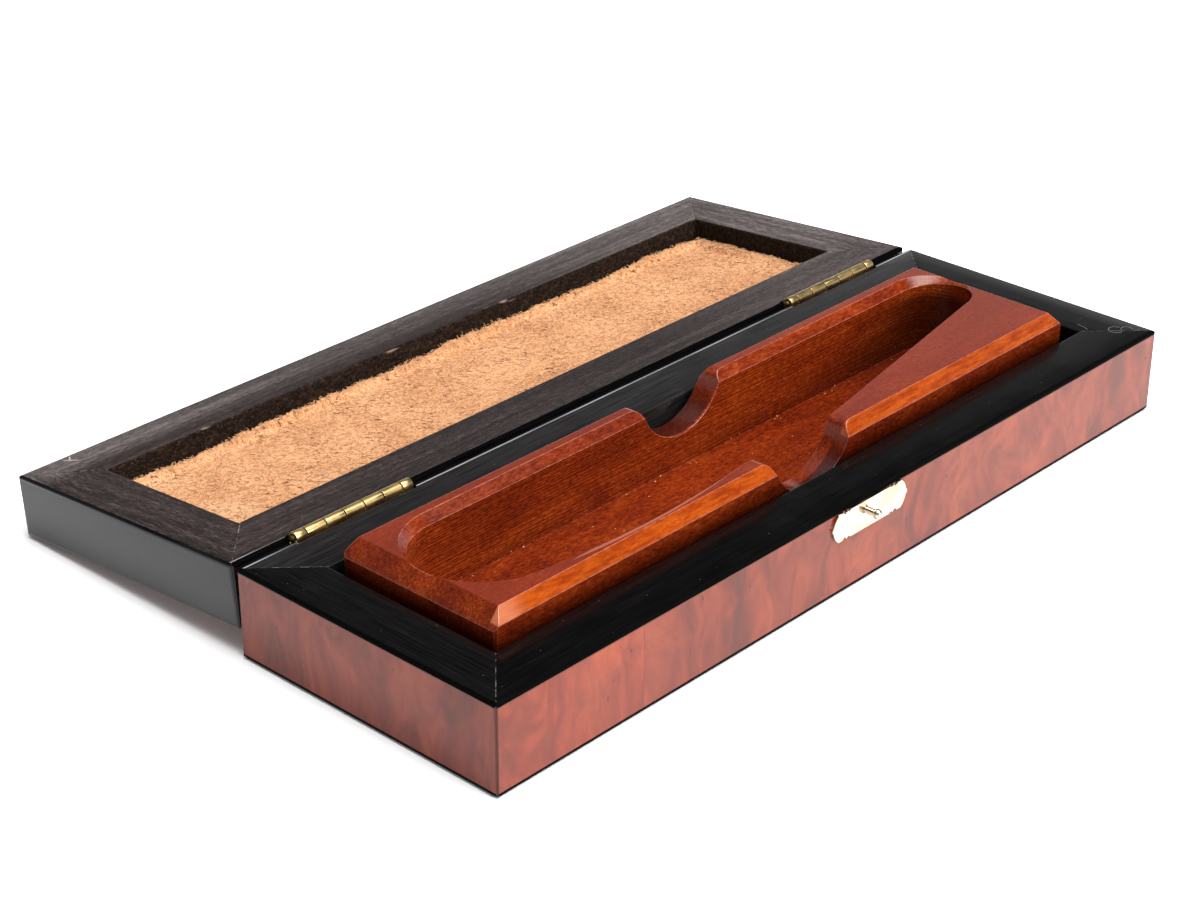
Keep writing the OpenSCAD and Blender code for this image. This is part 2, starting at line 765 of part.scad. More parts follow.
// Section of the lid's outside with its two lower edges rounded
module rounded_foot(w) {
    translate([-w / 2 + lid_edge_r, 0]) square([w - 2 * lid_edge_r, lid_h]);
    translate([-w / 2, lid_edge_r]) square([w, lid_h - lid_edge_r]);
    for (side = [-1, 1])
        translate([side * (w / 2 - lid_edge_r), lid_edge_r]) circle(lid_edge_r);
}

module lid_padding_board() color(BOARD)
    in_lid() translate([0, 0, -lid_floor_z])
        linear_extrude(lid_floor_z - padding_z)
            square([lid_hole_l - 2 * joint_gap, lid_hole_w - 2 * joint_gap], center = true);

module leather_pad() color(LEATHER)
    in_lid() translate([0, 0, -padding_z])
        linear_extrude(leather_t)
            rounded_plan(lid_hole_l - 2 * leather_gap, lid_hole_w - 2 * leather_gap, leather_corner_r);

base_front_wall();
base_back_wall();
base_left_wall();
base_right_wall();
base_front_liner();
base_back_liner();
base_left_liner();
base_right_liner();
base_front_veneer_left();
base_front_veneer_right();
base_back_veneer();
base_left_veneer();
base_right_veneer();
base_bottom_board();
base_felt();
razor_cradle();
hinge_left_base_leaf();
hinge_right_base_leaf();
hinge_left_pin();
hinge_right_pin();
base_hinge_nails();
catch_plate();
catch_stud();
lid_front_wall();
lid_back_wall();
lid_left_wall();
lid_right_wall();
lid_front_liner();
lid_back_liner();
lid_left_liner();
lid_right_liner();
lid_top_board();
lid_top_veneer();
lid_padding_board();
leather_pad();
hinge_left_lid_leaf();
hinge_right_lid_leaf();
lid_hinge_nails();
hook_plate();
hook_rivet();
latch_hook();
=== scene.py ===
"""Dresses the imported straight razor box: carved cradle, burl sides and a lid lined with split leather."""

import json
import logging
import math
import random
from collections.abc import Callable
from dataclasses import dataclass
from enum import Enum
from functools import partial, reduce

import bmesh
import bpy
from mathutils import Matrix, Vector, noise


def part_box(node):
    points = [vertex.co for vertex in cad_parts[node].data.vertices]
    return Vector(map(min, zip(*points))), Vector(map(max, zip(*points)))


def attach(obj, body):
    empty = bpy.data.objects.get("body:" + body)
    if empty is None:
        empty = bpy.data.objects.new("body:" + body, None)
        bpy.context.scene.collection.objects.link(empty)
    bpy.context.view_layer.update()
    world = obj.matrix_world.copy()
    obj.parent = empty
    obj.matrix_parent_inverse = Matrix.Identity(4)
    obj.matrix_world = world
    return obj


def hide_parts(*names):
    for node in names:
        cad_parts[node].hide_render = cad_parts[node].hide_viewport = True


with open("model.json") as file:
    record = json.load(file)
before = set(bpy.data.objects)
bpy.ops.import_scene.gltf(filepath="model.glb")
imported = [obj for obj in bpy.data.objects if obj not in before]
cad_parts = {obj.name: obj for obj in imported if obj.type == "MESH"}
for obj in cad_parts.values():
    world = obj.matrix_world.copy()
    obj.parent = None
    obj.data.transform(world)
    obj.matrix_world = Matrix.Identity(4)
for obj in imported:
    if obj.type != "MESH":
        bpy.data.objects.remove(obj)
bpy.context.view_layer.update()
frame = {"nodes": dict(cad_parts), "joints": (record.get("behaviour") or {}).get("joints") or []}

MM = 0.001
SAME_POINT = 2e-6
SHARP_DEG = 38.0
LOG = logging.getLogger("razor_box")

Socket = bpy.types.NodeSocket
Input = Socket | float | tuple[float, ...]
Face = bpy.types.MeshPolygon
Span = tuple[float, float]
Triple = tuple[float, float, float]
Color = Triple
Stops = tuple[tuple[float, Color], ...]

# Heights of the base's side veneers, and wood that shows where an edge is rubbed bare
VENEER_LOW, VENEER_TOP = 1.0, 18.05
BARE_WOOD: Color = (0.34, 0.27, 0.21)


class Run(Enum):
    """The direction that a rail's grain runs in."""

    LONG = "along X"
    SHORT = "along Y"


def along(run: Run, squeeze: float) -> Triple:
    """Scale factors that leave a share of a pattern's frequency along the grain."""
    return (squeeze, 1.0, 1.0) if run is Run.LONG else (1.0, squeeze, 1.0)


@dataclass(frozen=True)
class LidPlace:
    """Where the open lid lies: its own frame has the rim's middle as origin and the rim's normal as Z."""

    box_l: float = 200.0
    box_w: float = 65.5
    back_gap: float = 1.5
    rim_gap: float = 0.1
    rim_side: float = 12.9
    rim_end: float = 12.5

    @property
    def hinge(self) -> dict:
        """The lid's joint, as the frame gives it."""
        return next(joint for joint in frame["joints"] if joint["name"] == "lid_hinge")

    @property
    def matrix(self) -> Matrix:
        """Lid frame in millimetres to the row frame in metres, with the far edge dropped to the table.

        Returns:
            A rigid placing scaled by a thousandth.
        """
        tilt = math.radians(self.hinge["range_deg"][1] - 180)
        out = Vector((0, self.back_gap / 2 + self.box_w / 2, -self.rim_gap / 2))
        turned = Matrix.Translation(Vector(self.hinge["pos_m"])) @ Matrix.Rotation(-tilt, 4, "X")
        return turned @ Matrix.Scale(MM, 4) @ Matrix.Translation(out)

    @property
    def axes(self) -> Matrix:
        """The lid frame's directions as the columns of a rotation."""
        return self.matrix.to_3x3().normalized()

    @property
    def half_box(self) -> Span:
        """Half the length and half the width of the box."""
        return self.box_l / 2, self.box_w / 2

    @property
    def half_open(self) -> Span:
        """Half the length and half the width of the lid's opening."""
        return self.box_l / 2 - self.rim_end, self.box_w / 2 - self.rim_side


LID = LidPlace()


class Painter:
    """Builds one node material, with short calls for the few nodes that the finishes use."""

    def __init__(self, name: str) -> None:
        """Starts a material with a surface shader and the place in millimetres.

        Args:
            name: Name of the material.
        """
        self.material = bpy.data.materials.new(name)
        self.material.use_nodes = True
        self.tree = self.material.node_tree
        self.tree.nodes.clear()
        self.shader = self.node("BsdfPrincipled")
        out = self.node("OutputMaterial")
        self.tree.links.new(self.shader.outputs[0], out.inputs["Surface"])
        where = self.node("TexCoord").outputs["Object"]
        self.place = self.vector("MULTIPLY", where, (1 / MM, 1 / MM, 1 / MM))
        self.relief: Socket | None = None

    def feed(self, socket: Socket, value: Input) -> None:
        """Links a socket to an input, or sets the input's value.

        Args:
            socket: The input.
            value: A socket, number, vector or colour.
        """
        if isinstance(value, Socket):
            self.tree.links.new(value, socket)
        elif isinstance(value, tuple) and len(value) == 3 and socket.type == "RGBA":
            socket.default_value = (*value, 1.0)
        else:
            socket.default_value = value

    def node(self, kind: str, **inputs: Input) -> bpy.types.Node:
        """Adds a node.

        Args:
            kind: Type of the node, without its first word.
            inputs: Values for its inputs.

        Returns:
            The node.
        """
        node = self.tree.nodes.new("ShaderNode" + kind)
        for name, value in inputs.items():
            self.feed(node.inputs[name], value)
        return node

    def vector(self, operation: str, a: Input, b: Input) -> Socket:
        """A vector operation.

        Args:
            operation: Name of the operation.
            a: First vector.
            b: Second vector, or the factor of a scaling.

        Returns:
            The result.
        """
        node = self.node("VectorMath")
        node.operation = operation
        self.feed(node.inputs[0], a)
        self.feed(node.inputs["Scale" if operation == "SCALE" else 1], b)
        return node.outputs["Value" if operation == "DOT_PRODUCT" else "Vector"]

    def number(self, operation: str, a: Input, b: Input = 0.0) -> Socket:
        """A number operation.

        Args:
            operation: Name of the operation.
            a: First number.
            b: Second number.

        Returns:
            The result.
        """
        node = self.node("Math")
        node.operation = operation
        self.feed(node.inputs[0], a)
        self.feed(node.inputs[1], b)
        return node.outputs[0]

    def times(self, *factors: Input) -> Socket:
        """The product of some numbers."""
        return reduce(partial(self.number, "MULTIPLY"), factors)

    def plus(self, *terms: Input) -> Socket:
        """The sum of some numbers."""
        return reduce(partial(self.number, "ADD"), terms)

    def most(self, *values: Input) -> Socket:
        """The largest of some numbers."""
        return reduce(partial(self.number, "MAXIMUM"), values)

    def minus(self, a: Input, b: Input) -> Socket:
        """The difference of two numbers."""
        return self.number("SUBTRACT", a, b)

    def size(self, value: Input) -> Socket:
        """A number without its sign."""
        return self.number("ABSOLUTE", value)

    def weighed(self, *shares: tuple[Socket, float]) -> Socket:
        """The sum of some patterns, each by its weight."""
        return self.plus(*(self.times(pattern, weight) for pattern, weight in shares))

    def mapped(self, scale: Triple, shift: Triple = (0, 0, 0)) -> Socket:
        """The place in millimetres, scaled and then shifted."""
        return self.node("Mapping", Vector=self.place, Location=shift, Scale=scale).outputs[0]

    def noise(self, place: Socket, scale: float, detail: float = 3.0, rough: float = 0.5,
              twist: float = 0.0) -> Socket:
        """Fractal noise.

        Args:
            place: Where it is looked up.
            scale: Frequency in cycles per millimetre.
            detail: Octaves.
            rough: Share that each octave keeps.
            twist: Distortion.

        Returns:
            A number from 0 to 1, mostly near 0.5.
        """
        node = self.node("TexNoise", Vector=place, Scale=scale, Detail=detail, Roughness=rough,
                         Distortion=twist)
        return node.outputs["Fac"]

    def cells(self, place: Socket, scale: float) -> Socket:
        """Distance to the nearest point of a Voronoi pattern of the given frequency."""
        return self.node("TexVoronoi", Vector=place, Scale=scale).outputs["Distance"]

    def ease(self, value: Input, low: float, high: float, start: float = 0.0,
             end: float = 1.0) -> Socket:
        """Smooth step of a value.

        Args:
            value: The value.
            low: Value that gives start.
            high: Value that gives end.
            start: Result at low.
            end: Result at high.

        Returns:
            The result.
        """
        names = ("Value", "From Min", "From Max", "To Min", "To Max")
        node = self.node("MapRange", **dict(zip(names, (value, low, high, start, end))))
        node.interpolation_type = "SMOOTHSTEP"
        return node.outputs["Result"]

    def ramp(self, value: Socket, stops: Stops) -> Socket:
        """Colour ramp.

        Args:
            value: Place on the ramp, from 0 to 1.
            stops: Places and their colours, in order.

        Returns:
            The colour.
        """
        node = self.node("ValToRGB", Fac=value)
        elements = node.color_ramp.elements
        while len(elements) < len(stops):
            elements.new(0.5)
        for element, (position, color) in zip(elements, stops):
            element.position, element.color = position, (*color, 1.0)
        return node.outputs["Color"]

    def mix(self, share: Input, a: Input, b: Input, blend: str = "MIX") -> Socket:
        """Mixed colour.

        Args:
            share: How much of b.
            a: First colour.
            b: Second colour.
            blend: Blend type.

        Returns:
            The colour.
        """
        node = self.node("Mix")
        node.data_type, node.blend_type = "RGBA", blend
        for index, value in zip((0, 6, 7), (share, a, b)):
            self.feed(node.inputs[index], value)
        return node.outputs[2]

    def parts(self, place: Socket) -> tuple[Socket, Socket, Socket]:
        """The three components of a vector."""
        return tuple(self.node("SeparateXYZ", Vector=place).outputs)

    def in_frame(self, frame_matrix: Matrix) -> Socket:
        """The place in another frame, in that frame's millimetres.

        Args:
            frame_matrix: The frame in metres, as a rigid placing scaled by a thousandth.

        Returns:
            The place.
        """
        turn = frame_matrix.to_3x3().normalized()
        shift = self.vector("SUBTRACT", self.place, tuple(frame_matrix.translation / MM))
        node = self.node("CombineXYZ")
        for axis in range(3):
            self.feed(node.inputs[axis], self.vector("DOT_PRODUCT", shift, tuple(turn.col[axis])))
        return node.outputs[0]

    def swirl(self, scale: float, shift: Triple) -> Socket:
        """A slowly turning vector pattern around zero, of the given frequency."""
        node = self.node("TexNoise", Vector=self.mapped((1, 1, 1), shift), Scale=scale, Detail=2.0)
        return self.vector("SUBTRACT", node.outputs["Color"], (0.5, 0.5, 0.5))

    def bevel_share(self) -> Socket:
        """Share of the rounded edges, as the mesh gives it.

        Returns:
            A number from 0 to 1.
        """
        node = self.node("Attribute")
        node.attribute_name = "on_bevel"
        return node.outputs["Fac"]

    def bump(self, height: Socket, depth: float) -> None:
        """Adds relief to the surface.

        Args:
            height: Pattern of the relief.
            depth: Its depth in millimetres.
        """
        node = self.node("Bump", Height=height, Distance=depth * MM, Strength=1.0)
        if self.relief is not None:
            self.feed(node.inputs["Normal"], self.relief)
        self.relief = node.outputs[0]

    def finish(self, **inputs: Input) -> bpy.types.Material:
        """Feeds the surface shader.

        Args:
            inputs: Shader inputs, with underscores for spaces.

        Returns:
            The material.
        """
        for name, value in inputs.items():
            self.feed(self.shader.inputs[name.replace("_", " ")], value)
        if self.relief is not None:
            self.feed(self.shader.inputs["Normal"], self.relief)
        return self.material


# Finishes


@dataclass(frozen=True)
class Scratch:
    """A pale mark: the part of a thin ring that lies furthest towards a direction, in millimetres."""

    middle: Span
    radius: float
    width: float
    towards: Span
    open_share: float
    fade: float = 0.15

    def mask(self, p: Painter, x: Socket, y: Socket) -> Socket:
        """The mark's share of the surface.

        Args:
            p: Painter of the material.
            x: Place along X.
            y: Place across X.

        Returns:
            A number from 0 to 1.
        """
        dx, dy = p.minus(x, self.middle[0]), p.minus(y, self.middle[1])
        far = p.number("SQRT", p.plus(p.times(dx, dx), p.times(dy, dy)))
        off = p.size(p.minus(far, self.radius))
        ring = p.ease(off, self.width * 0.4, self.width * 1.1, 1, 0)
        side = p.weighed((dx, self.towards[0]), (dy, self.towards[1]))
        low = self.radius * self.open_share
        return p.times(ring, p.ease(side, low, low + self.fade))


def mitre_marks(p: Painter, x: Socket, y: Socket, width: float) -> Socket:
    """Broken hairlines where the rails of the box or the lid meet.

    Args:
        p: Painter of the material.
        x: Place along the frame.
        y: Place across the frame.
        width: Width of the line.

    Returns:
        A number from 0 to 1.
    """
    half_x, half_y = LID.half_box
    from_x, from_y = p.minus(half_x, p.size(x)), p.minus(half_y, p.size(y))
    off = p.size(p.minus(from_x, from_y))
    broken = p.ease(p.noise(p.place, 0.75, 3, 0.7), 0.47, 0.58)
    return p.times(p.ease(off, width * 0.4, width, 1, 0), broken)


def glint_line(p: Painter, y: Socket, at: float) -> Socket:
    """Share of a painted highlight: a pale glint line that runs along a long edge.

    Args:
        p: Painter of the material.
        y: Place across the edge.
        at: Where the line runs.

    Returns:
        A number from 0 to 1.
    """
    line = p.ease(p.size(p.minus(y, at)), 0.06, 0.2, 1, 0)
    broken = p.ease(p.noise(p.mapped((0.03, 0, 0), (at, 0, 0)), 1.0, 3), 0.38, 0.6, 0.2, 0.9)
    return p.times(line, broken)


def rubbed_edge(p: Painter, x: Socket, y: Socket) -> Socket:
    """Share of bare wood along the far edge of the lid's recess.

    Args:
        p: Painter of the material.
        x: Place along the lid.
        y: Place across the lid.

    Returns:
        A number from 0 to 1.
    """
    end, edge = LID.half_open
    spots = p.ease(p.noise(p.mapped((0.12, 0.3, 1), (1, 6, 4)), 0.35, 3, 0.6), 0.56, 0.62)
    line = p.times(p.ease(y, edge - 0.65, edge - 0.15), p.ease(y, edge + 0.75, edge + 0.25))
    return p.times(line, p.ease(p.size(x), end - 1.5, end - 0.5, 1, 0), spots, 0.75)


@dataclass(frozen=True)
class BlackLacquer:
    """Satin black lacquer over fine-grained wood, with a hairline where two rails meet; dull mixes in a
    greyer black, and a painted highlight line may run along one edge.
    """

    run: Run
    dull: float
    gloss: float
    glint_at: float | None = None
    flat_half: Span = (99.0, 31.8)
    black: Stops = ((0.35, (0.0008, 0.0008, 0.0009)), (0.7, (0.003, 0.003, 0.0033)))
    # A greyer black, mixed in by the share dull
    paler: Stops = ((0.35, (0.003, 0.003, 0.003)), (0.6, (0.016, 0.0145, 0.0145)))
    mark: Color = (0.15, 0.135, 0.12)
    # Colour of the painted highlight line along an edge
    wear_and_glint: Color = (0.3, 0.3, 0.31)
    arris: Color = (0.06, 0.0135, 0.008)
    scratches: tuple[Scratch, ...] = (
        Scratch((94.3, -26.3), 1.5, 0.13, (-0.75, 0.65), -0.8),
        Scratch((96.2, -27.9), 1.2, 0.11, (0.6, 0.8), -0.3),
        Scratch((86.0, -19.2), 5.0, 0.1, (0.97, -0.25), 0.93),
    )

    def material(self) -> bpy.types.Material:
        """Builds the finish.

        Returns:
            Its material.
        """
        p = Painter(f"black_lacquer_{self.run.name.lower()}_{round(self.dull * 100)}")
        x, y, height = p.parts(p.place)
        grain = p.noise(p.mapped(along(self.run, 0.03)), 2.6, 4, 0.6)
        color = p.mix(self.dull, p.ramp(grain, self.black), p.ramp(grain, self.paler))
        speck = p.ease(p.cells(p.place, 0.33), 0.03, 0.05, 1, 0)
        scratches = (scratch.mask(p, x, y) for scratch in self.scratches)
        marks = p.most(p.times(speck, 0.5), mitre_marks(p, x, y, 0.16), *scratches)
        color = p.mix(p.times(marks, 0.6), color, self.mark)
        # Painted highlight: a pale glint line along the rail's edge
        if self.glint_at is not None:
            color = p.mix(glint_line(p, y, self.glint_at), color, self.wear_and_glint)
        past_flat = [p.ease(p.size(place), flat, flat + 0.2) for place, flat in zip((x, y), self.flat_half)]
        beside_veneer = p.times(p.ease(height, VENEER_LOW, VENEER_LOW + 0.1),
                                p.ease(height, VENEER_TOP, VENEER_TOP - 0.1))
        color = p.mix(p.times(p.most(*past_flat), beside_veneer), color, self.arris)
        cloud = p.ease(p.noise(p.place, 0.12, 3), 0.3, 0.7, 0.09, 0.15)
        p.bump(grain, 0.008)
        return p.finish(Base_Color=color, Roughness=p.plus(cloud, p.times(grain, 0.06)),
                        Specular_IOR_Level=self.gloss)


@dataclass(frozen=True)
class RimWood:
    """Black-brown wood with open pores on the lid's rim, chipped and scuffed bare in places, with painted
    sheen toward its far end, a painted highlight line and painted shade along the hinge side.
    """

    run: Run
    grain: Stops = ((0.40, (0.001, 0.0004, 0.0003)), (0.47, (0.0075, 0.0036, 0.0028)),
                    (0.53, (0.0195, 0.0122, 0.0108)), (0.62, (0.056, 0.04, 0.037)))
    painted_sheen: Stops = ((0.42, (0.03, 0.024, 0.023)), (0.52, (0.09, 0.074, 0.071)), (0.62, (0.19, 0.165, 0.16)))
    dust: Color = (0.08, 0.06, 0.05)
    chipped: Color = (0.34, 0.3, 0.27)
    # Painted highlight: a pale line along the hinge-side edge, left of the left hinge
    line: Color = (0.26, 0.25, 0.25)
    glint_y: float = -31.65
    glint_x: Span = (-66.0, -69.0)
    # Painted shade: the rounding on the hinge side is painted black, so the seam between lid and base reads
    # as a wide dark gap
    edge: Color = (0.0015, 0.0015, 0.0015)
    seam_shade_y: Span = (-32.0, -32.4)
    chips: tuple[Scratch, ...] = (
        Scratch((-93.8, 26.0), 6.0, 0.24, (0.772, 0.635), 0.965),
        Scratch((-90.6, 32.0), 2.3, 0.2, (0.8, -0.6), 0.9),
    )

    def material(self) -> bpy.types.Material:
        """Builds the finish.

        Returns:
            Its material.
        """
        p = Painter(f"rim_wood_{self.run.name.lower()}")
        x, y, _ = p.parts(p.in_frame(LID.matrix))
        pores = p.noise(p.mapped(along(self.run, 0.16)), 3.6, 5, 0.72, 0.5)
        bands = p.noise(p.mapped(along(self.run, 0.02), (7, 3, 1)), 0.7, 3, 0.5, 0.4)
        value = p.weighed((pores, 0.7), (bands, 0.3))
        # Painted sheen: the rim grows paler toward the far right end and along the outer edge near both ends
        far_end = p.times(p.ease(x, 8, 85), p.ease(y, -31, -10, 0.3, 0.62))
        both_ends = p.most(p.ease(x, -30, -80, 0.45, 0.8), p.ease(x, 0, 85, 0.45, 0.75))
        outer_edge = p.times(both_ends, p.ease(y, 21.5, 31))
        wood = p.mix(p.most(far_end, outer_edge), p.ramp(value, self.grain), p.ramp(value, self.painted_sheen))
        scuff = p.ease(p.noise(p.mapped(along(self.run, 0.2), (3, 9, 2)), 0.9, 4, 0.7), 0.6, 0.72)
        wood = p.mix(p.times(scuff, 0.4), wood, self.dust)
        chips = (chip.mask(p, x, y) for chip in self.chips)
        wood = p.mix(p.most(p.times(mitre_marks(p, x, y, 0.15), 0.5), *chips), wood, self.chipped)
        wood = p.mix(rubbed_edge(p, x, y), wood, BARE_WOOD)
        # Painted highlight along the hinge-side edge
        wood = p.mix(p.times(glint_line(p, y, self.glint_y), p.ease(x, *self.glint_x)), wood, self.line)
        p.bump(pores, 0.1)
        # Painted shade on the hinge-side rounding
        return p.finish(Base_Color=p.mix(p.ease(y, *self.seam_shade_y), wood, self.edge), Roughness=0.42,
                        Specular_IOR_Level=0.07)


@dataclass(frozen=True)
class LidLacquer:
    """Smeared black lacquer on the lid's outside, redder where the veneer's edge shows."""

    smeared: Stops = ((0.3, (0.002, 0.0022, 0.0024)), (0.75, (0.0085, 0.0085, 0.0095)))
    veneer_edge: Color = (0.06, 0.02, 0.012)
    veneer_z: Span = (-12.9, -12.6)

    def material(self) -> bpy.types.Material:
        """Builds the finish.

        Returns:
            Its material.
        """
        p = Painter("lid_lacquer")
        height = p.parts(p.in_frame(LID.matrix))[2]
        smear = p.noise(p.mapped((0.3, 0.25, 1), (2.0, 0.8, 0)), 0.22, 3, 0.55)
        low = p.times(p.ease(height, *self.veneer_z, 1, 0), 0.7)
        p.bump(p.noise(p.place, 0.3, 2), 0.02)
        return p.finish(Base_Color=p.mix(low, p.ramp(smear, self.smeared), self.veneer_edge),
                        Roughness=p.ease(smear, 0.3, 0.7, 0.1, 0.17), Specular_IOR_Level=0.27)


@dataclass(frozen=True)
class SeamBlack:
    """Matt black on the lid's hinge edge, where it is painted shade for the seam between lid and base, and
    on the base's lips, which show as dark seams.
    """

    name: str
    gloss: float
    black: Stops = ((0.35, (0.0008, 0.0008, 0.0008)), (0.7, (0.0025, 0.0022, 0.0022)))

    def material(self) -> bpy.types.Material:
        """Builds the finish.

        Returns:
            Its material.
        """
        p = Painter(self.name)
        grain = p.noise(p.mapped(along(Run.LONG, 0.05)), 2.0, 4, 0.6)
        p.bump(grain, 0.03)
        return p.finish(Base_Color=p.ramp(grain, self.black), Roughness=0.55, Specular_IOR_Level=self.gloss)


@dataclass(frozen=True)
class RecessWood:
    """Raw wood down in the lid's recess: rough, dark and fuzzy."""

    raw: Stops = ((0.38, (0.0016, 0.0009, 0.0006)), (0.5, (0.0085, 0.0048, 0.0032)),
                  (0.64, (0.042, 0.024, 0.014)))

    def material(self) -> bpy.types.Material:
        """Builds the finish.

        Returns:
            Its material.
        """
        p = Painter("recess_wood")
        x, y, height = p.parts(p.in_frame(LID.matrix))
        fuzz = p.noise(p.mapped((0.5, 1, 1), (5, 1, 3)), 1.8, 5, 0.75, 1.2)
        bare = p.times(p.ease(height, -1.0, -0.2), rubbed_edge(p, x, y))
        p.bump(fuzz, 0.16)
        return p.finish(Base_Color=p.mix(bare, p.ramp(fuzz, self.raw), BARE_WOOD), Roughness=0.8,
                        Specular_IOR_Level=0.08)


@dataclass(frozen=True)
class BurlVeneer:
    """Polished pink-brown burl: flame bands, darker eyes and swirls under clear gloss, with a painted
    highlight along the top edge and a colour gain that paints light on the fronts.
    """

    name: str
    shift: Triple
    swirls: float = 0.7
    tint_and_painted_light: Color = (1.0, 1.0, 1.0)
    gloss: float = 0.3
    flames: Stops = ((0.38, (0.078, 0.0155, 0.0095)), (0.46, (0.108, 0.0195, 0.0105)),
                     (0.52, (0.134, 0.025, 0.0125)), (0.64, (0.178, 0.038, 0.0175)))
    shadow: Color = (0.04, 0.012, 0.0105)
    eye: Color = (0.045, 0.007, 0.005)
    raw_edge_highlight: Color = (0.085, 0.02, 0.006)

    def material(self) -> bpy.types.Material:
        """Builds the finish.

        Returns:
            Its material.
        """
        p = Painter(self.name)
        sway = p.vector("SCALE", p.swirl(0.03, self.shift), 16.0)
        place = p.vector("ADD", p.mapped((1, 1, 0.42), self.shift), sway)
        wide = p.noise(place, 0.04, 2, 0.5, 0.6)
        flame = p.noise(place, 0.12, 3, 0.5, 1.4)
        fine = p.noise(place, 0.9, 3, 0.6, 0.8)
        color = p.ramp(p.weighed((wide, 0.34), (flame, 0.56), (fine, 0.1)), self.flames)
        smudge = p.ease(p.noise(place, 0.07, 3, 0.6, 2.2), 0.56, 0.7)
        ring = p.number("SINE", p.times(p.noise(place, 0.045, 2, 0.4, 1.2), 70.0))
        rings = p.times(p.ease(ring, 0.3, 1), p.ease(wide, 0.5, 0.62))
        dark = p.most(p.times(smudge, 0.62), p.times(rings, 0.18))
        color = p.mix(p.times(dark, self.swirls), color, self.shadow)
        # The gain is partly painted light: the front veneers are made brighter and warmer than the sides
        color = p.mix(1.0, color, self.tint_and_painted_light, "MULTIPLY")
        fleck = p.ease(p.cells(p.vector("MULTIPLY", place, (1, 1, 1.6)), 0.22), 0.05, 0.09, 1, 0)
        color = p.mix(p.times(fleck, 0.7), color, self.eye)
        # Painted highlight: the veneer's raw top edge, drawn as a lit orange-brown line just below the lip
        raw = p.ease(p.parts(p.place)[2], VENEER_TOP - 0.32, VENEER_TOP - 0.2)
        color = p.mix(p.times(raw, 0.85), color, self.raw_edge_highlight)
        p.bump(p.noise(p.place, 0.35, 2), 0.01)
        return p.finish(Base_Color=color, Roughness=0.1, Specular_IOR_Level=self.gloss)


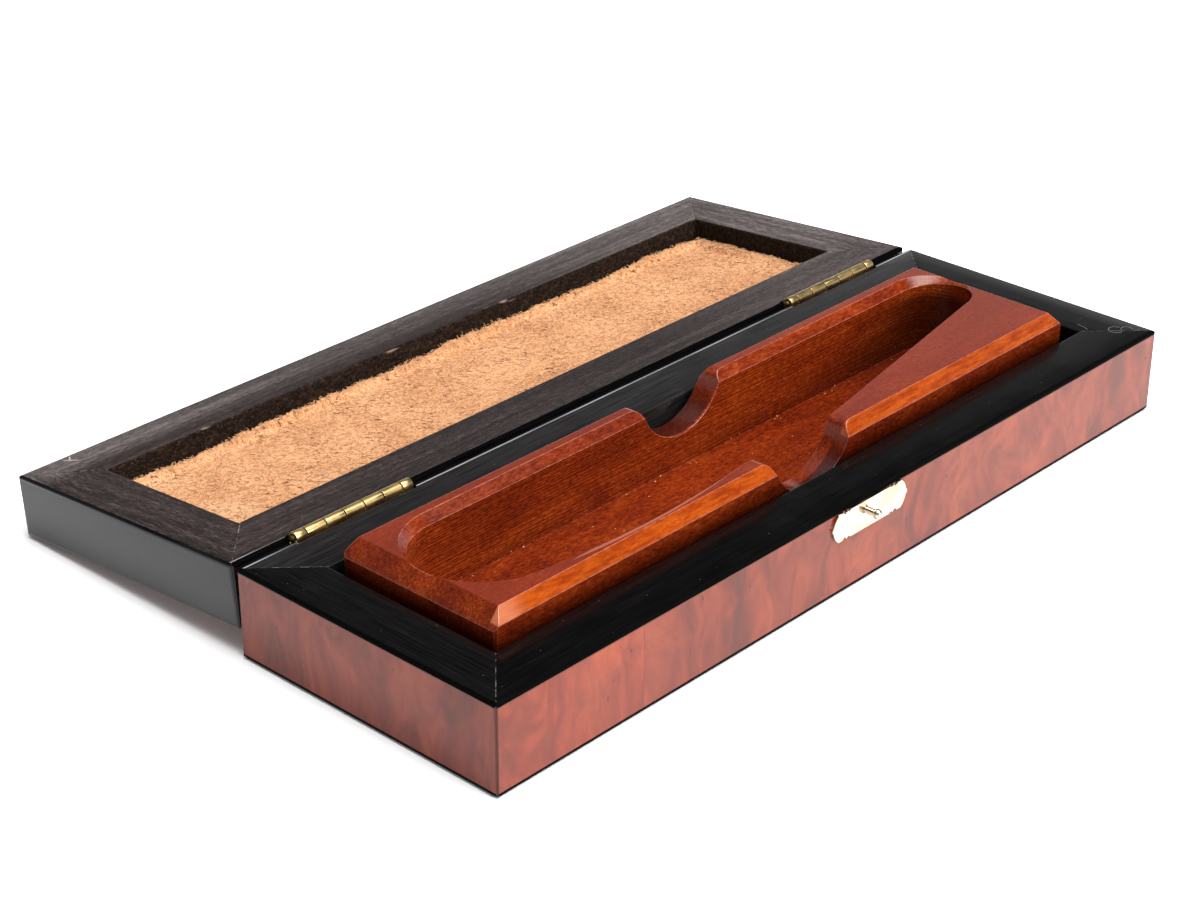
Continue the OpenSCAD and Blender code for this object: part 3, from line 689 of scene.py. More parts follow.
@dataclass(frozen=True)
class CradleWood:
    """Glossy orange mahogany with short pores, fine saw lines in the pocket, pale edges that are partly wear
    and partly painted highlight, and painted light and shade on the chamfer, the sides and the pocket's far
    end.
    """

    top: float = 24.3
    floor: float = 7.8
    rim: float = 18.9
    chamfer: float = 2.2
    pocket_y: Span = (-16.3, 15.0)
    pocket_x: float = -85.2
    front_y: float = -16.9
    wood: Stops = ((0.38, (0.042, 0.0034, 0.0007)), (0.47, (0.105, 0.0098, 0.0012)),
                   (0.54, (0.165, 0.019, 0.0018)), (0.64, (0.29, 0.052, 0.0055)))
    flat: Color = (0.125, 0.016, 0.0065)
    bright: Color = (0.3, 0.1, 0.065)
    shaded: Color = (0.014, 0.0014, 0.0005)
    lit_chamfer: tuple[Color, Color] = ((0.22, 0.027, 0.0014), (0.42, 0.078, 0.0045))
    near_corner_highlight: Color = (0.46, 0.17, 0.09)
    saw: tuple[Color, Color] = ((1.45, 1.65, 1.8), (0.8, 0.8, 1.0))
    far_end_shade: Color = (0.014, 0.0015, 0.0006)
    dust: Color = (0.6, 0.36, 0.17)
    wear_and_glint: Color = (0.36, 0.12, 0.07)
    paler: Scratch = Scratch((-44.4, 143.4), 159.85, 0.5, (0.03, -1.0), 0.991)

    def material(self) -> bpy.types.Material:
        """Builds the finish.

        Returns:
            Its material.
        """
        p = Painter("cradle_mahogany")
        x, y, height = p.parts(p.place)
        side = p.ease(height, self.top - self.chamfer - 0.5, self.top - self.chamfer, 1, 0)
        inner = p.times(p.ease(y, self.pocket_y[1] - 0.4, self.pocket_y[1], 1, 0),
                        p.ease(y, self.pocket_y[0], self.pocket_y[0] + 0.4),
                        p.ease(x, self.pocket_x, self.pocket_x + 0.6))
        outer = p.times(side, p.minus(1.0, inner))
        chamfer = p.times(p.ease(y, self.front_y, self.front_y - 0.4), p.minus(1.0, side))
        pores = p.noise(p.mapped((0.2, 1, 1)), 4.2, 4, 0.7, 0.3)
        mottle = p.noise(p.mapped((0.45, 1, 1), (1, 5, 3)), 1.5, 4, 0.7)
        color = self.stained(p, pores, mottle)
        color = self.outside(p, color, outer, chamfer)
        color, lines = self.in_pocket(p, color, inner)
        # Pale edges on the roundings: partly real wear, partly painted highlight
        wear_and_glint = p.times(p.bevel_share(), p.ease(mottle, 0.35, 0.6, 0.15, 0.6))
        kept = p.times(p.ease(height, self.floor + 1, self.floor + 2, 0.2, 1),
                       p.minus(1.0, p.times(outer, 0.8)))
        color = p.mix(p.times(wear_and_glint, kept), color, self.wear_and_glint)
        p.bump(pores, 0.012)
        p.bump(lines, 0.012)
        smooth = p.plus(p.ease(mottle, 0.3, 0.7, 0.2, 0.27), p.times(chamfer, -0.08))
        return p.finish(Base_Color=color, Roughness=smooth, Specular_IOR_Level=0.4)

    def stained(self, p: Painter, pores: Socket, mottle: Socket) -> Socket:
        """The stained wood, duller on the flat top, with a painted highlight along the pocket's curved front
        edge.

        Args:
            p: Painter of the material.
            pores: Pattern of the pores.
            mottle: Pattern of the mottling.

        Returns:
            The colour.
        """
        x, y, height = p.parts(p.place)
        stain = p.noise(p.mapped((0.3, 1, 1), (4, 2, 8)), 0.13, 4, 0.6, 0.8)
        color = p.ramp(p.weighed((pores, 0.38), (stain, 0.3), (mottle, 0.32)), self.wood)
        flat = p.ease(height, self.top - 0.16, self.top - 0.06)
        color = p.mix(p.times(flat, 0.62), color, self.flat)
        # Painted highlight: a pale pink line on the top along the pocket's curved front edge
        return p.mix(p.times(flat, self.paler.mask(p, x, y), 0.6), color, self.bright)

    def outside(self, p: Painter, color: Socket, outer: Socket, chamfer: Socket) -> Socket:
        """Adds the shade low on the outer sides, painted light on the front chamfer and a painted highlight
        at its near-left end.

        Args:
            p: Painter of the material.
            color: The wood so far.
            outer: Share of the outer sides.
            chamfer: Share of the front chamfer.

        Returns:
            The colour.
        """
        x, _, height = p.parts(p.place)
        shade = p.ease(height, self.rim - 1.5, self.top - 2.6, 0.2, 0.85)
        color = p.mix(p.times(outer, p.minus(1.0, shade)), color, self.shaded)
        streak = p.ease(p.noise(p.mapped((0.15, 1, 1), (2, 4, 6)), 1.0, 4, 0.7), 0.36, 0.62)
        # Painted light: the front chamfer is made brighter orange
        color = p.mix(p.times(chamfer, 0.5), color, p.mix(streak, *self.lit_chamfer))
        # Painted highlight: pale pink at the chamfer's near-left end
        return p.mix(p.times(chamfer, p.ease(x, -77, -83.5, 0, 0.5)), color, self.near_corner_highlight)

    def in_pocket(self, p: Painter, color: Socket, inner: Socket) -> tuple[Socket, Socket]:
        """Adds the saw lines on the pocket's back wall, painted shade at its far end and dust on its floor.

        Args:
            p: Painter of the material.
            color: The wood so far.
            inner: Share of the pocket.

        Returns:
            The colour and the relief of the lines.
        """
        x, y, height = p.parts(p.place)
        waver = p.noise(p.mapped((0.012, 0.1, 1)), 0.9, 2, 0.5)
        lines = p.number("SINE", p.weighed((height, 10.5), (waver, 14.0)))
        back = p.times(p.ease(y, 6, 9), p.ease(height, 22.3, 22.6, 1, 0), inner,
                       p.ease(height, self.floor + 0.15, self.floor + 0.5))
        saw = p.mix(p.ease(lines, -0.8, 0.8), *self.saw)
        color = p.mix(back, color, p.mix(1.0, color, saw, "MULTIPLY"))
        # Painted shade: the pocket darkens toward its far right end
        far_end_shade = p.times(inner, p.ease(height, 22.5, 19, 0, 1), p.ease(x, 40, 80))
        color = p.mix(p.times(far_end_shade, 0.75), color, self.far_end_shade)
        low = p.ease(height, self.floor + 0.3, self.floor + 0.8, 1, 0)
        speck = p.ease(p.cells(p.place, 0.5), 0.045, 0.07, 1, 0)
        joint = p.times(p.ease(y, 13.1, 13.6), p.ease(p.cells(p.place, 0.55), 0.08, 0.12, 1, 0))
        color = p.mix(p.times(low, p.most(speck, joint), 0.85), color, self.dust)
        return color, p.times(lines, back)


@dataclass(frozen=True)
class SplitLeather:
    """Rough tan split leather: pale nap with brown flecks."""

    nap: Stops = ((0.38, (0.18, 0.055, 0.018)), (0.44, (0.36, 0.148, 0.06)),
                  (0.5, (0.47, 0.232, 0.106)), (0.6, (0.585, 0.33, 0.17)))
    smooth: Color = (0.54, 0.32, 0.17)
    fleck: Color = (0.115, 0.028, 0.006)
    brushed_turn: float = -0.88

    def material(self) -> bpy.types.Material:
        """Builds the finish.

        Returns:
            Its material.
        """
        p = Painter("split_leather")
        x = p.parts(p.in_frame(LID.matrix))[0]
        wide = p.noise(p.place, 0.07, 3)
        clump = p.noise(p.place, 0.55, 4, 0.65, 0.6)
        nap = p.noise(p.mapped((0.6, 1, 1)), 2.6, 5, 0.75, 0.8)
        color = p.ramp(p.weighed((wide, 0.16), (clump, 0.14), (nap, 0.7)), self.nap)
        left_end = p.times(p.ease(x, -70, -77), p.ease(wide, 0.4, 0.55), 0.5)
        color = p.mix(left_end, color, self.smooth)
        turned = p.in_frame(LID.matrix @ Matrix.Rotation(self.brushed_turn, 4, "Z"))
        hair = p.ease(p.noise(p.vector("MULTIPLY", turned, (0.55, 1.3, 1)), 1.25, 3, 0.6, 1.0), 0.575, 0.6)
        many = p.ease(p.noise(p.place, 0.12, 3, 0.6), 0.4, 0.58, 0.35, 1.0)
        color = p.mix(p.times(hair, many), color, self.fleck)
        p.bump(nap, 0.14)
        return p.finish(Base_Color=color, Roughness=0.95, Specular_IOR_Level=0.12,
                        Sheen_Weight=0.05, Sheen_Roughness=0.6)


@dataclass(frozen=True)
class LeatherFibre:
    """Loose fibres of the nap, pale or brown."""

    name: str
    color: Color

    def material(self) -> bpy.types.Material:
        """Builds the finish.

        Returns:
            Its material.
        """
        p = Painter(self.name)
        dark = tuple(0.6 * level for level in self.color)
        color = p.ramp(p.noise(p.place, 1.3, 2), ((0.35, dark), (0.65, self.color)))
        return p.finish(Base_Color=color, Roughness=0.9, Specular_IOR_Level=0.1)


@dataclass(frozen=True)
class Brass:
    """Rolled brass: soft scratches along the piece, and tarnish in soft clouds."""

    name: str = "hinge_brass"
    bright: Color = (0.49, 0.35, 0.15)
    dull: Color = (0.23, 0.135, 0.045)
    shine: float = 0.27
    tarnish: float = 0.6

    def material(self) -> bpy.types.Material:
        """Builds the finish.

        Returns:
            Its material.
        """
        p = Painter(self.name)
        cloud = p.noise(p.mapped((0.6, 1, 1)), 0.4, 2, 0.5)
        scratch = p.noise(p.mapped((0.08, 1, 1)), 7.0, 3, 0.6)
        color = p.mix(p.ease(cloud, 0.45, 0.7, 0, 0.8 * self.tarnish), self.bright, self.dull)
        rough = p.plus(self.shine, p.times(p.ease(cloud, 0.35, 0.7), 0.16))
        p.bump(scratch, 0.0012)
        return p.finish(Base_Color=color, Metallic=1.0, Roughness=rough)


@dataclass(frozen=True)
class InnerBoard:
    """Plain brown plywood that shows only at edges."""

    plies: Stops = ((0.35, (0.09, 0.045, 0.022)), (0.65, (0.2, 0.115, 0.06)))

    def material(self) -> bpy.types.Material:
        """Builds the finish.

        Returns:
            Its material.
        """
        p = Painter("inner_board")
        grain = p.noise(p.mapped((0.1, 0.1, 2.5)), 1.0, 3)
        p.bump(grain, 0.03)
        return p.finish(Base_Color=p.ramp(grain, self.plies), Roughness=0.75)


@dataclass(frozen=True)
class Felt:
    """Black wool felt."""

    wool: Stops = ((0.3, (0.004, 0.004, 0.0045)), (0.7, (0.02, 0.02, 0.022)))

    def material(self) -> bpy.types.Material:
        """Builds the finish.

        Returns:
            Its material.
        """
        p = Painter("black_felt")
        fuzz = p.noise(p.place, 2.2, 5, 0.75, 1.0)
        p.bump(fuzz, 0.15)
        return p.finish(Base_Color=p.ramp(fuzz, self.wool), Roughness=1.0, Sheen_Weight=0.4)


# Meshes


def add_mesh(name: str, mesh: bpy.types.Mesh, materials: list[bpy.types.Material]) -> bpy.types.Object:
    """Links a finished mesh as a piece.

    Args:
        name: Name of the piece.
        mesh: Mesh in the row frame, in metres.
        materials: Its materials, in slot order.

    Returns:
        The new object.
    """
    mesh.name = name
    mesh.materials.clear()
    for material in materials:
        mesh.materials.append(material)
    piece = bpy.data.objects.new(name, mesh)
    bpy.context.scene.collection.objects.link(piece)
    return piece


def in_lid_rim(face: Face, least: float = 0.96) -> bool:
    """Whether a face lies flat in the lid's rim."""
    return LID.axes.col[2].dot(face.normal) > least


def on_hinge_edge(face: Face, slant: float = 0.04, flat: float = 0.999) -> bool:
    """Whether a face belongs to the rounding between the lid's rim and its hinge side."""
    _, across, upwards = LID.axes.transposed() @ face.normal
    return across < -slant and slant < upwards < flat


def on_outer_edge(face: Face, edge: Span = (99.1, 31.85), veneer: Span = (1.5, 17.5)) -> bool:
    """Whether a face belongs to the lips of the base above and below the side veneers.

    Args:
        face: The face.
        edge: Half the length and half the width beyond which a lip lies.
        veneer: Heights between which there is no lip.

    Returns:
        True for a face of a lip.
    """
    x, y, height = face.center / MM
    outside = abs(x) > edge[0] or abs(y) > edge[1]
    return outside and face.normal.z < 0.97 and not veneer[0] < height < veneer[1]


def dress(node: str, material: bpy.types.Material, ease: float = 0.0, turned: bool = False,
          other: bpy.types.Material | None = None, where: Callable[[Face], bool] = in_lid_rim) -> None:
    """Gives a CAD node its material and slightly eased edges.

    Args:
        node: Name of the node.
        material: Its finish.
        ease: Width in millimetres of the rounding on its sharp edges.
        turned: Whether the piece is mostly round, so that its facets are shaded as one.
        other: A second finish, for some of the faces.
        where: Tells which faces take the second finish.
    """
    piece = frame["nodes"][node]
    mesh = piece.data
    mesh.materials.clear()
    mesh.materials.append(material)
    slots = [0] * len(mesh.polygons)
    if other:
        mesh.materials.append(other)
        slots = [int(where(face)) for face in mesh.polygons]
    mesh.polygons.foreach_set("material_index", slots)
    if ease:
        if "custom_normal" in mesh.attributes:
            mesh.attributes.remove(mesh.attributes["custom_normal"])
        mesh.shade_smooth()
        weld = piece.modifiers.new("weld", "WELD")
        weld.merge_threshold = SAME_POINT
        bevel = piece.modifiers.new("eased_edges", "BEVEL")
        bevel.width, bevel.segments = ease * MM, 2
        bevel.limit_method, bevel.angle_limit = "ANGLE", math.radians(SHARP_DEG)
        bevel.harden_normals, bevel.use_clamp_overlap = not turned, False
        bevel.miter_outer = "MITER_ARC"
        if turned:
            piece.modifiers.new("level_faces", "WEIGHTED_NORMAL")
    LOG.info("%s dressed in %s", node, material.name)


# Sub-assemblies


@dataclass
class BaseBox:
    """The base: black rails and liners, burl sides, bottom board and felt."""

    rail_ease: float = 0.05
    veneer_ease: float = 0.04
    felt_ease: float = 0.08

    def dress(self) -> None:
        """Finishes every node of the base box."""
        sides = {
            "front": BlackLacquer(Run.LONG, 0.0, 0.2),
            # The back rail carries a painted highlight line along its back edge
            "back": BlackLacquer(Run.LONG, 0.9, 0.36, glint_at=31.8),
            "left": BlackLacquer(Run.SHORT, 0.15, 0.28),
            "right": BlackLacquer(Run.SHORT, 0.2, 0.16),
        }
        lip = SeamBlack("lip_black", 0.01).material()
        for side, finish in sides.items():
            lacquer = finish.material()
            dress(f"base_{side}_wall", lacquer, self.rail_ease, other=lip, where=on_outer_edge)
            dress(f"base_{side}_liner", lacquer, self.rail_ease)
        # The front veneers get a larger gain than the sides: painted light on the front faces
        fronts = {
            "left": BurlVeneer("burl_front_left", (33.1, 0.4, 7.7), 0.5, (1.5, 1.2, 0.85)),
            "right": BurlVeneer("burl_front_right", (9.3, 15.2, 1.4), 0.65, (1.28, 1.1, 0.9)),
        }
        for end, veneer in fronts.items():
            dress(f"base_front_veneer_{end}", veneer.material(), self.veneer_ease)
        burl = BurlVeneer("burl_sides", (0.6, 48.1, 2.2), 0.7, (1.12, 1.0, 1.0), 0.22).material()
        for side in ("back", "left", "right"):
            dress(f"base_{side}_veneer", burl, self.veneer_ease)
        dress("base_bottom_board", InnerBoard().material())
        dress("base_felt", Felt().material(), self.felt_ease)


@dataclass
class RazorCradle:
    """The carved cradle, its long edges softened by hand sanding.

    At its left end, the edges above end_outside and end_inside keep their shape.
    """

    soft: float = 0.13
    sharp_deg: float = 32.0
    shaded_deg: float = 31.0
    foot: float = 0.5
    end_x: float = -74.0
    end_y: Span = (-15.0, 12.0)
    end_outside: float = 24.2
    end_inside: float = 23.3
    shell: Triple = (3.0, 2.2, 1.7)

    def mesh(self) -> bpy.types.Mesh:
        """The node's shape with its edges rounded.

        Returns:
            A mesh with an on_bevel value on each vertex.
        """
        bm = bmesh.new()
        bm.from_mesh(frame["nodes"]["razor_cradle"].data)
        bmesh.ops.remove_doubles(bm, verts=bm.verts, dist=SAME_POINT)
        bmesh.ops.dissolve_limit(bm, angle_limit=math.radians(1.0), verts=bm.verts, edges=bm.edges)
        low = min(vert.co.z for vert in bm.verts) / MM
        chosen = [edge for edge in bm.edges if self.rounds(edge, low)]
        bmesh.ops.bevel(bm, geom=chosen, offset=self.soft * MM, segments=3, profile=0.5,
                        affect="EDGES", clamp_overlap=False, material=1)
        layer = bm.verts.layers.float.new("on_bevel")
        for vert in bm.verts:
            faces = vert.link_faces
            vert[layer] = 1.0 if faces and all(face.material_index == 1 for face in faces) else 0.0
        for face in bm.faces:
            face.material_index, face.smooth = 0, True
        for edge in bm.edges:
            edge.smooth = edge.calc_face_angle(0) < math.radians(self.shaded_deg)
        mesh = bpy.data.meshes.new("razor_cradle_soft")
        bm.to_mesh(mesh)
        bm.free()
        return mesh

    def rounds(self, edge: bmesh.types.BMEdge, low: float) -> bool:
        """Whether an edge is sharp and has room beside it for the rounding.

        Args:
            edge: Edge of the node's shape.
            low: Height of the cradle's underside in millimetres.

        Returns:
            True for an edge to round.
        """
        if edge.calc_face_angle(0) < math.radians(self.sharp_deg):
            return False
        ends = [vert.co / MM for vert in edge.verts]
        if max(end.z for end in ends) < low + self.foot:
            return False
        middle = (ends[0] + ends[1]) / 2
        if middle.x < self.end_x and self.end_y[0] < middle.y < self.end_y[1]:
            if middle.z > (self.end_outside if self.on_outside(middle) else self.end_inside):
                return False
        return self.room(edge) > 0.8 * self.soft

    def room(self, edge: bmesh.types.BMEdge) -> float:
        """How far the faces beside an edge can give way.

        Args:
            edge: The edge.

        Returns:
            Half of the shortest way across them, in millimetres.
        """
        best, parallel = 9.0, 0.93
        for vert in edge.verts:
            run = (edge.other_vert(vert).co - vert.co).normalized()
            for other in vert.link_edges:
                if other is edge or not set(other.link_faces) & set(edge.link_faces):
                    continue
                side = other.other_vert(vert).co - vert.co
                cosine = run.dot(side.normalized())
                if abs(cosine) < parallel:
                    best = min(best, side.length / MM * math.sqrt(1 - cosine * cosine) / 2)
        return best

    def on_outside(self, point: Vector) -> bool:
        """Whether a point is on the cradle's outer shell and not in its pocket.

        Args:
            point: The point in millimetres.

        Returns:
            True within the shell's thickness at the ends, the front or the back.
        """
        low, high = (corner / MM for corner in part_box("razor_cradle"))
        ends, front, back = self.shell
        return (
            point.x < low.x + ends or point.x > high.x - ends
            or point.y < low.y + front or point.y > high.y - back
        )

    def dress(self) -> None:
        """Builds and finishes the cradle in place of its node."""
        piece = add_mesh("razor_cradle_soft", self.mesh(), [CradleWood().material()])
        level = piece.modifiers.new("level_faces", "WEIGHTED_NORMAL")
        level.mode, level.weight, level.keep_sharp = "FACE_AREA", 100, True
        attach(piece, "base")
        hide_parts("razor_cradle")
        LOG.info("razor_cradle_soft: %d faces", len(piece.data.polygons))


@dataclass
class Lid:
    """The lid's rails, liners, boards and outside veneer."""

    rail_ease: float = 0.1
    veneer_ease: float = 0.04

    def dress(self) -> None:
        """Finishes every node of the lid's woodwork."""
        sides = {"front": Run.LONG, "back": Run.LONG, "left": Run.SHORT, "right": Run.SHORT}
        rim = {run: RimWood(run).material() for run in Run}
        lacquer, recess = LidLacquer().material(), RecessWood().material()
        for side, run in sides.items():
            dress(f"lid_{side}_wall", lacquer, self.rail_ease, other=rim[run])
            dress(f"lid_{side}_liner", recess, self.rail_ease, other=rim[run])
        # The hinge edge's rounding takes matt black without gloss: painted shade for the seam between lid
        # and base
        hinge_wall = frame["nodes"]["lid_back_wall"].data
        hinge_wall.materials.append(SeamBlack("seam_black", 0.0).material())
        for face in filter(on_hinge_edge, hinge_wall.polygons):
            face.material_index = 2
        board = InnerBoard().material()
        dress("lid_top_board", board)
        dress("lid_padding_board", board)
        dress("lid_top_veneer", BurlVeneer("burl_lid", (5.5, 2.6, 4.9)).material(), self.veneer_ease)


@dataclass(frozen=True)
class Fibre:
    """One bent fibre that lies on the leather, in millimetres and radians."""

    x: float
    y: float
    turn: float
    bend: float
    length: float
    rise: float
    width: float


@dataclass
class LeatherLining:
    """The rough split leather glued into the lid, with a ragged edge that climbs the liners."""

    step: float = 0.5
    gap: float = 0.5
    corner: float = 2.2
    depth: float = 5.72
    bottom: float = 7.95
    side_reach: Span = (1.5, 2.2)
    end_reach: float = 4.2
    bump_x: float = 12.0
    bump_reach: float = 8.0
    bump_height: float = 1.5
    highest: float = 0.14
    cradle_lift: float = 2.4
    cradle_inset: float = 0.7
    cradle_slopes: Span = (3.0, 1.2)
    cradle_x: Span = (-83.0, 82.0)
    cradle_y: Span = (-18.5, 17.6)
    cradle_depth: float = 5.5
    fibre_count: int = 9000
    fibre_width: float = 0.13
    fibre_inset: float = 1.2
    fibre_parts: int = 4
    brown_share: float = 0.34

    def height(self, x: float, y: float) -> float:
        """Height of the leather's face below the rim, in the lid frame.

        Args:
            x: Place along the lid in millimetres.
            y: Place across the lid in millimetres, from its middle.

        Returns:
            Height in millimetres, below zero.
        """
        half_x, half_y = LID.half_open
        to_end, to_side = half_x - abs(x), half_y - abs(y)
        sway = noise.noise(Vector((x * 0.045, y * 0.05, 3.0)))
        uneven = noise.noise(Vector((x * 0.05, 11.0, 0.0))) + 0.5 * noise.noise(Vector((x * 0.17, 4.0, 8.0)))
        climb_side = 1.15 + 0.6 * uneven + 0.35 * sway
        if y > 0:
            bump = math.exp(-(((x - self.bump_x) / self.bump_reach) ** 2))
            climb_side += 0.8 + 0.5 * uneven + self.bump_height * bump
        climb_end = 1.6 + 0.5 * noise.noise(Vector((y * 0.16, 5.0, 2.0)))
        side = max(0.0, 1 - max(to_side - 0.3, 0) / self.side_reach[int(y >= 0)])
        end = max(0.0, 1 - max(to_end - 0.3, 0) / self.end_reach)
        lift = max(climb * share * share * (3 - 2 * share)
                   for climb, share in ((climb_side, side), (climb_end, end)))
        if y > 0 and to_end > 3:
            beyond = to_side - self.cradle_inset
            lift = min(lift, max(self.cradle_lift - self.cradle_slopes[int(beyond > 0)] * beyond, 0.1))
        wave = 0.05 * sway + 0.05 * noise.noise(Vector((x * 0.35, y * 0.35, 1.0)))
        nap = 0.07 * noise.noise(Vector((x * 2.1, y * 2.1, 7.0)))
        nap += 0.04 * noise.noise(Vector((x * 4.7, y * 4.7, 2.0)))
        return -self.depth + lift + min(wave + nap, self.highest)

    def place(self, u: float, v: float) -> Span:
        """Where a point of the sheet lies, with round corners and a ragged edge.

        Args:
            u: Share of the half length, from -1 to 1.
            v: Share of the half width, from -1 to 1.

        Returns:
            Place in millimetres along and across the lid.
        """
        reach_x, reach_y = (half - self.gap for half in LID.half_open)
        x, y = u * reach_x, v * reach_y
        over_x, over_y = abs(x) - (reach_x - self.corner), abs(y) - (reach_y - self.corner)
        if over_x > 0 and over_y > 0:
            shrink = max(over_x, over_y) / math.hypot(over_x, over_y)
            x = math.copysign(reach_x - self.corner + over_x * shrink, x)
            y = math.copysign(reach_y - self.corner + over_y * shrink, y)
        rag = 0.35 + 0.35 * noise.noise(Vector((x * 0.3, y * 0.3, 5.0)))
        rag += 0.3 * noise.noise(Vector((x * 1.7, y * 1.7, 9.0)))
        near_end, near_side = max(abs(u) - 0.97, 0) / 0.03, max(abs(v) - 0.9, 0) / 0.1
        x -= math.copysign(max(rag, 0) * near_end ** 2, x)
        y -= math.copysign(max(rag, 0) * near_side ** 2, y)
        return x, y

    def mesh(self) -> bpy.types.Mesh:
        """A closed sheet: napped face, ragged rim and flat back.

        Returns:
            Mesh in the row frame.
        """
        nx, ny = (int(2 * (half - self.gap) / self.step) for half in LID.half_open)
        bm = bmesh.new()
        top, low = [], []
        for i in range(nx + 1):
            top.append([])
            low.append([])
            for j in range(ny + 1):
                x, y = self.place(2 * i / nx - 1, 2 * j / ny - 1)
                top[i].append(bm.verts.new((x, y, self.height(x, y))))
                low[i].append(bm.verts.new((x, y, -self.bottom)))
        for i in range(nx):
            for j in range(ny):
                bm.faces.new((top[i][j], top[i + 1][j], top[i + 1][j + 1], top[i][j + 1]))
                bm.faces.new((low[i][j], low[i][j + 1], low[i + 1][j + 1], low[i + 1][j]))
        ring = [(i, 0) for i in range(nx)] + [(nx, j) for j in range(ny)]
        ring += [(i, ny) for i in range(nx, 0, -1)] + [(0, j) for j in range(ny, 0, -1)]
        for a, b in zip(ring, ring[1:] + ring[:1]):
            bm.faces.new((top[a[0]][a[1]], low[a[0]][a[1]], low[b[0]][b[1]], top[b[0]][b[1]]))
        for face in bm.faces:
            face.smooth = True
        mesh = bpy.data.meshes.new("leather_sheet")
        bm.to_mesh(mesh)
        bm.free()
        mesh.transform(LID.matrix)
        return mesh

    def pick_fibre(self, pick: random.Random, on_edge: bool) -> Fibre:
        """Chooses one fibre.

        Args:
            pick: Source of chance.
            on_edge: Whether it lies along the ragged edge.

        Returns:
            The fibre.
        """
        half_x, half_y = LID.half_open
        x = pick.uniform(-half_x + self.fibre_inset, half_x - self.fibre_inset)
        y = pick.uniform(-half_y + self.fibre_inset, half_y - self.fibre_inset)
        if on_edge:
            if pick.random() < 0.8:
                y = math.copysign(half_y - pick.uniform(0.75, 1.3), y)
            else:
                x = math.copysign(half_x - pick.uniform(0.75, 1.5), x)
        return Fibre(x, y, turn=pick.gauss(0.15, 0.8), bend=pick.uniform(-1.6, 1.6),
                     length=pick.uniform(0.45, 1.5), rise=pick.uniform(0.03, 0.16),
                     width=self.fibre_width * pick.uniform(0.6, 1.2))

    def rib(self, fibre: Fibre, t: float) -> list[Triple]:
        """Three points around a fibre: its left side, its right side and its ridge.

        Args:
            fibre: The fibre.
            t: Share of its length.

        Returns:
            The points in the lid frame.
        """
        half_x, half_y = (half - 0.3 for half in LID.half_open)
        angle = fibre.turn + fibre.bend * t
        x = fibre.x + math.cos(angle) * fibre.length * (t - 0.5)
        y = fibre.y + math.sin(angle) * fibre.length * (t - 0.5)
        x, y = max(-half_x, min(half_x, x)), max(-half_y, min(half_y, y))
        z = self.height(x, y) + 0.01 + fibre.rise * math.sin(math.pi * t)
        z = min(z, -self.cradle_depth) if self.under_cradle(x, y) else z
        half = fibre.width * (1 - 0.8 * abs(2 * t - 1) ** 3) / 2
        dx, dy = -math.sin(angle) * half, math.cos(angle) * half
        return [(x - dx, y - dy, z), (x + dx, y + dy, z), (x, y, z + half * 1.3)]

    def fibres(self) -> bpy.types.Mesh:
        """Short bent fibres on the face, thicker along the ragged edges.

        Returns:
            Mesh in the row frame, with the brown fibres in the second slot.
        """
        pick = random.Random(41)
        points, faces, slots = [], [], []
        for count in range(self.fibre_count):
            fibre = self.pick_fibre(pick, on_edge=count % 5 == 0)
            first, last = len(points), len(points) + 3 * self.fibre_parts
            for part in range(self.fibre_parts + 1):
                points += self.rib(fibre, part / self.fibre_parts)
            for a in range(first, last, 3):
                b = a + 3
                faces += [(a, a + 2, b + 2, b), (a + 2, a + 1, b + 1, b + 2), (a + 1, a, b, b + 1)]
            faces += [(first, first + 1, first + 2), (last, last + 2, last + 1)]
            slots += [int(pick.random() < self.brown_share)] * (3 * self.fibre_parts + 2)
        mesh = bpy.data.meshes.new("leather_fibres")
        mesh.from_pydata(points, [], faces)
        mesh.polygons.foreach_set("material_index", slots)
        mesh.transform(LID.matrix)
        return mesh

    def under_cradle(self, x: float, y: float) -> bool:
        """Whether the cradle's flat top comes over this place when the lid is shut."""
        return self.cradle_x[0] < x < self.cradle_x[1] and self.cradle_y[0] < y < self.cradle_y[1]

    def dress(self) -> None:
        """Builds the leather and its fibres in place of the pad's node."""
        sheet = add_mesh("leather_sheet", self.mesh(), [SplitLeather().material()])
        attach(sheet, "lid")
        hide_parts("leather_pad")
        fibres = add_mesh("leather_fibres", self.fibres(), [
            LeatherFibre("fibre_pale", (0.52, 0.29, 0.15)).material(),
            LeatherFibre("fibre_brown", (0.2, 0.06, 0.016)).material(),
        ])
        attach(fibres, "lid")
        LOG.info("leather_sheet: %d faces, %d fibres", len(sheet.data.polygons), self.fibre_count)


@dataclass
class Hardware:
    """Brass hinges and latch."""

    hinge_ease: float = 0.07
    plate_ease: float = 0.06
    hook_ease: float = 0.08

    def dress(self) -> None:
        """Finishes every brass node."""
        hinge = Brass().material()
        # The pins are painted near black: painted shade, so the gaps between the knuckles read as dark slits
        dark = Brass("pin_painted_shade", (0.09, 0.06, 0.025), (0.03, 0.02, 0.01), 0.45, 1.0).material()
        for side in ("left", "right"):
            for part in ("base_leaf", "lid_leaf"):
                dress(f"hinge_{side}_{part}", hinge, self.hinge_ease, turned=True)
            dress(f"hinge_{side}_pin", dark, self.hinge_ease, turned=True)
        plate = Brass("latch_brass", (0.59, 0.52, 0.42), (0.42, 0.34, 0.2), 0.12, 0.6).material()
        for node in ("base_hinge_nails", "lid_hinge_nails"):
            dress(node, hinge)
        for node in ("catch_stud", "hook_rivet"):
            dress(node, plate)
        for node in ("catch_plate", "hook_plate"):
            dress(node, plate, self.plate_ease)
        dress("latch_hook", plate, self.hook_ease)


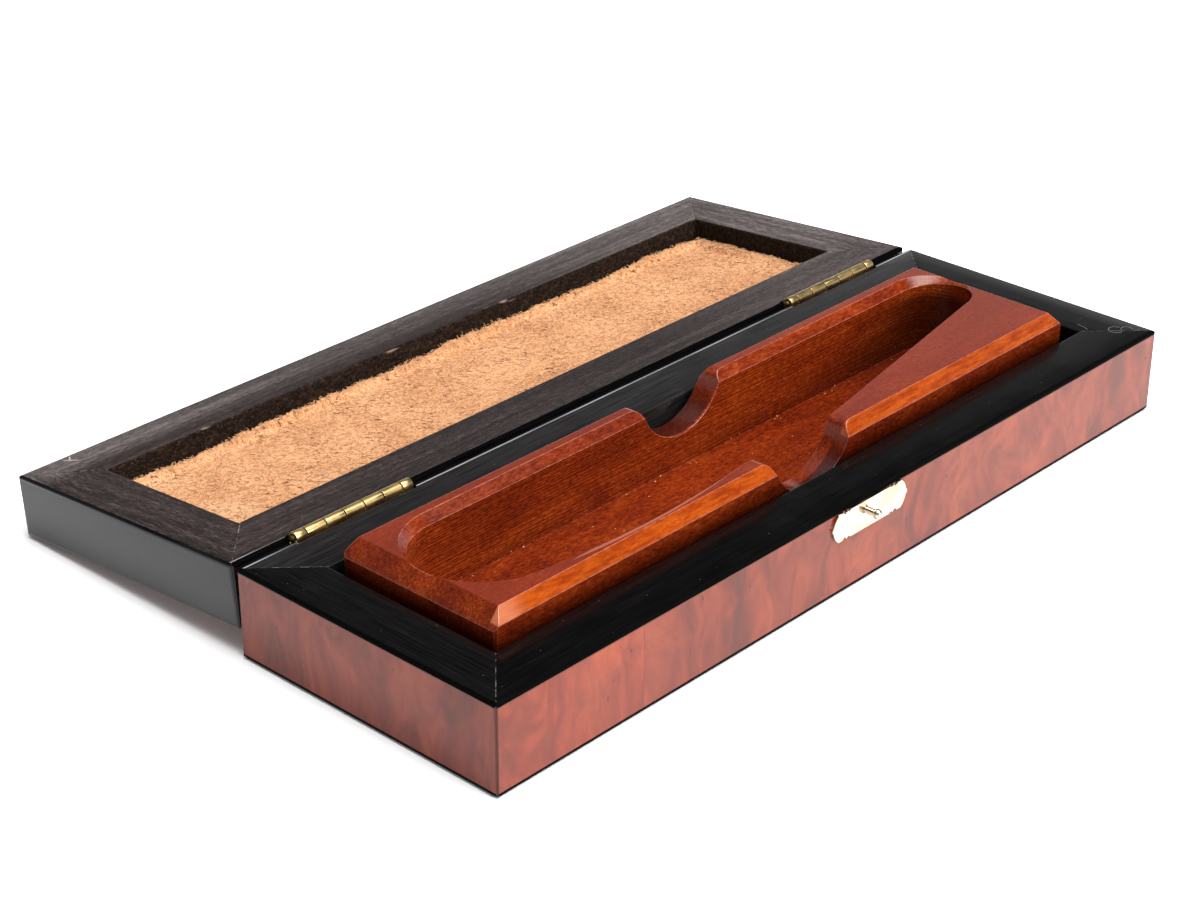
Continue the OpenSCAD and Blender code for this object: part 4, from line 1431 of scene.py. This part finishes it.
@dataclass(frozen=True)
class SoftBox:
    """A square light that faces the middle of the scene."""

    name: str
    at: Triple
    size: float
    power: float
    color: Color

    def build(self) -> None:
        """Adds the light to the scene."""
        data = bpy.data.lights.new(self.name, "AREA")
        data.shape, data.size, data.energy, data.color = "SQUARE", self.size, self.power, self.color
        lamp = bpy.data.objects.new(self.name, data)
        lamp.location = self.at
        lamp.rotation_mode = "QUATERNION"
        lamp.rotation_quaternion = Vector(self.at).to_track_quat("Z", "Y")
        bpy.context.scene.collection.objects.link(lamp)


@dataclass
class Studio:
    """Pale floor, soft lights and the camera at the photograph's angle, in metres."""

    camera_at: Triple = (-0.352484, -0.289546, 0.253367)
    camera_right: Triple = (0.679972, -0.733235, 0.001977)
    camera_up: Triple = (0.337396, 0.315278, 0.886997)
    lens: float = 78.1865
    sensor: float = 36.0
    clip: Span = (0.01, 20.0)
    floor_z: float = -0.00005
    floor_half: float = 6.0
    levels: tuple[Span, ...] = ((0.0, 0.9), (0.31, 0.9), (0.38, 0.36), (0.44, 0.06),
                                (0.50, 0.012), (0.76, 0.012), (0.86, 0.9), (1.0, 1.1))
    lights: tuple[SoftBox, ...] = (
        SoftBox("softbox_top", (0.15, -0.4, 1.6), 1.4, 56.0, (1.0, 1.0, 1.0)),
        SoftBox("fill_front", (0.35, -1.5, 0.9), 0.5, 22.0, (1.0, 0.985, 0.96)),
    )

    def surroundings(self) -> None:
        """Makes a world that is white below the horizon, dark above it and bright at the ceiling."""
        world = bpy.data.worlds.new("studio")
        world.use_nodes = True
        tree = world.node_tree
        where = tree.nodes.new("ShaderNodeTexCoord")
        split = tree.nodes.new("ShaderNodeSeparateXYZ")
        ramp = tree.nodes.new("ShaderNodeValToRGB")
        back = tree.nodes["Background"]
        tree.links.new(where.outputs["Generated"], split.inputs[0])
        tree.links.new(split.outputs[2], ramp.inputs[0])
        tree.links.new(ramp.outputs[0], back.inputs[0])
        back.inputs[1].default_value = 1.0
        ramp.color_ramp.interpolation = "B_SPLINE"
        elements = ramp.color_ramp.elements
        while len(elements) < len(self.levels):
            elements.new(0.5)
        for element, (position, level) in zip(elements, self.levels):
            element.position, element.color = position, (level, level, level * 1.02, 1.0)
        bpy.context.scene.world = world

    def floor(self) -> None:
        """Adds the white floor."""
        reach = self.floor_half
        corners = [(x * reach, y * reach, self.floor_z) for x, y in ((-1, -1), (1, -1), (1, 1), (-1, 1))]
        mesh = bpy.data.meshes.new("floor")
        mesh.from_pydata(corners, [], [(0, 1, 2, 3)])
        white = Painter("white_floor").finish(
            Base_Color=(0.93, 0.93, 0.93), Roughness=0.9, Specular_IOR_Level=0.1,
            Emission_Color=(1.0, 1.0, 1.0), Emission_Strength=0.05)
        add_mesh("floor", mesh, [white])

    def camera(self) -> None:
        """Adds the camera and looks through it."""
        data = bpy.data.cameras.new("camera")
        data.lens, data.sensor_width, data.sensor_fit = self.lens, self.sensor, "HORIZONTAL"
        data.clip_start, data.clip_end = self.clip
        camera = bpy.data.objects.new("camera", data)
        right, up = Vector(self.camera_right), Vector(self.camera_up)
        axes = Matrix((right, up, right.cross(up))).transposed().to_4x4()
        camera.matrix_world = Matrix.Translation(Vector(self.camera_at)) @ axes
        bpy.context.scene.collection.objects.link(camera)
        bpy.context.scene.camera = camera

    def build(self) -> None:
        """Makes the floor, the lights, the surroundings and the camera."""
        self.floor()
        for light in self.lights:
            light.build()
        self.surroundings()
        self.camera()
        view = bpy.context.scene.view_settings
        view.view_transform, view.look = "Standard", "None"
        LOG.info("studio: %d lights", len(self.lights))


def main() -> None:
    """Builds the studio and dresses each sub-assembly."""
    logging.basicConfig(level=logging.INFO, format="%(name)s: %(message)s")
    Studio().build()
    BaseBox().dress()
    RazorCradle().dress()
    Lid().dress()
    LeatherLining().dress()
    Hardware().dress()


if __name__ == "__main__":
    main()
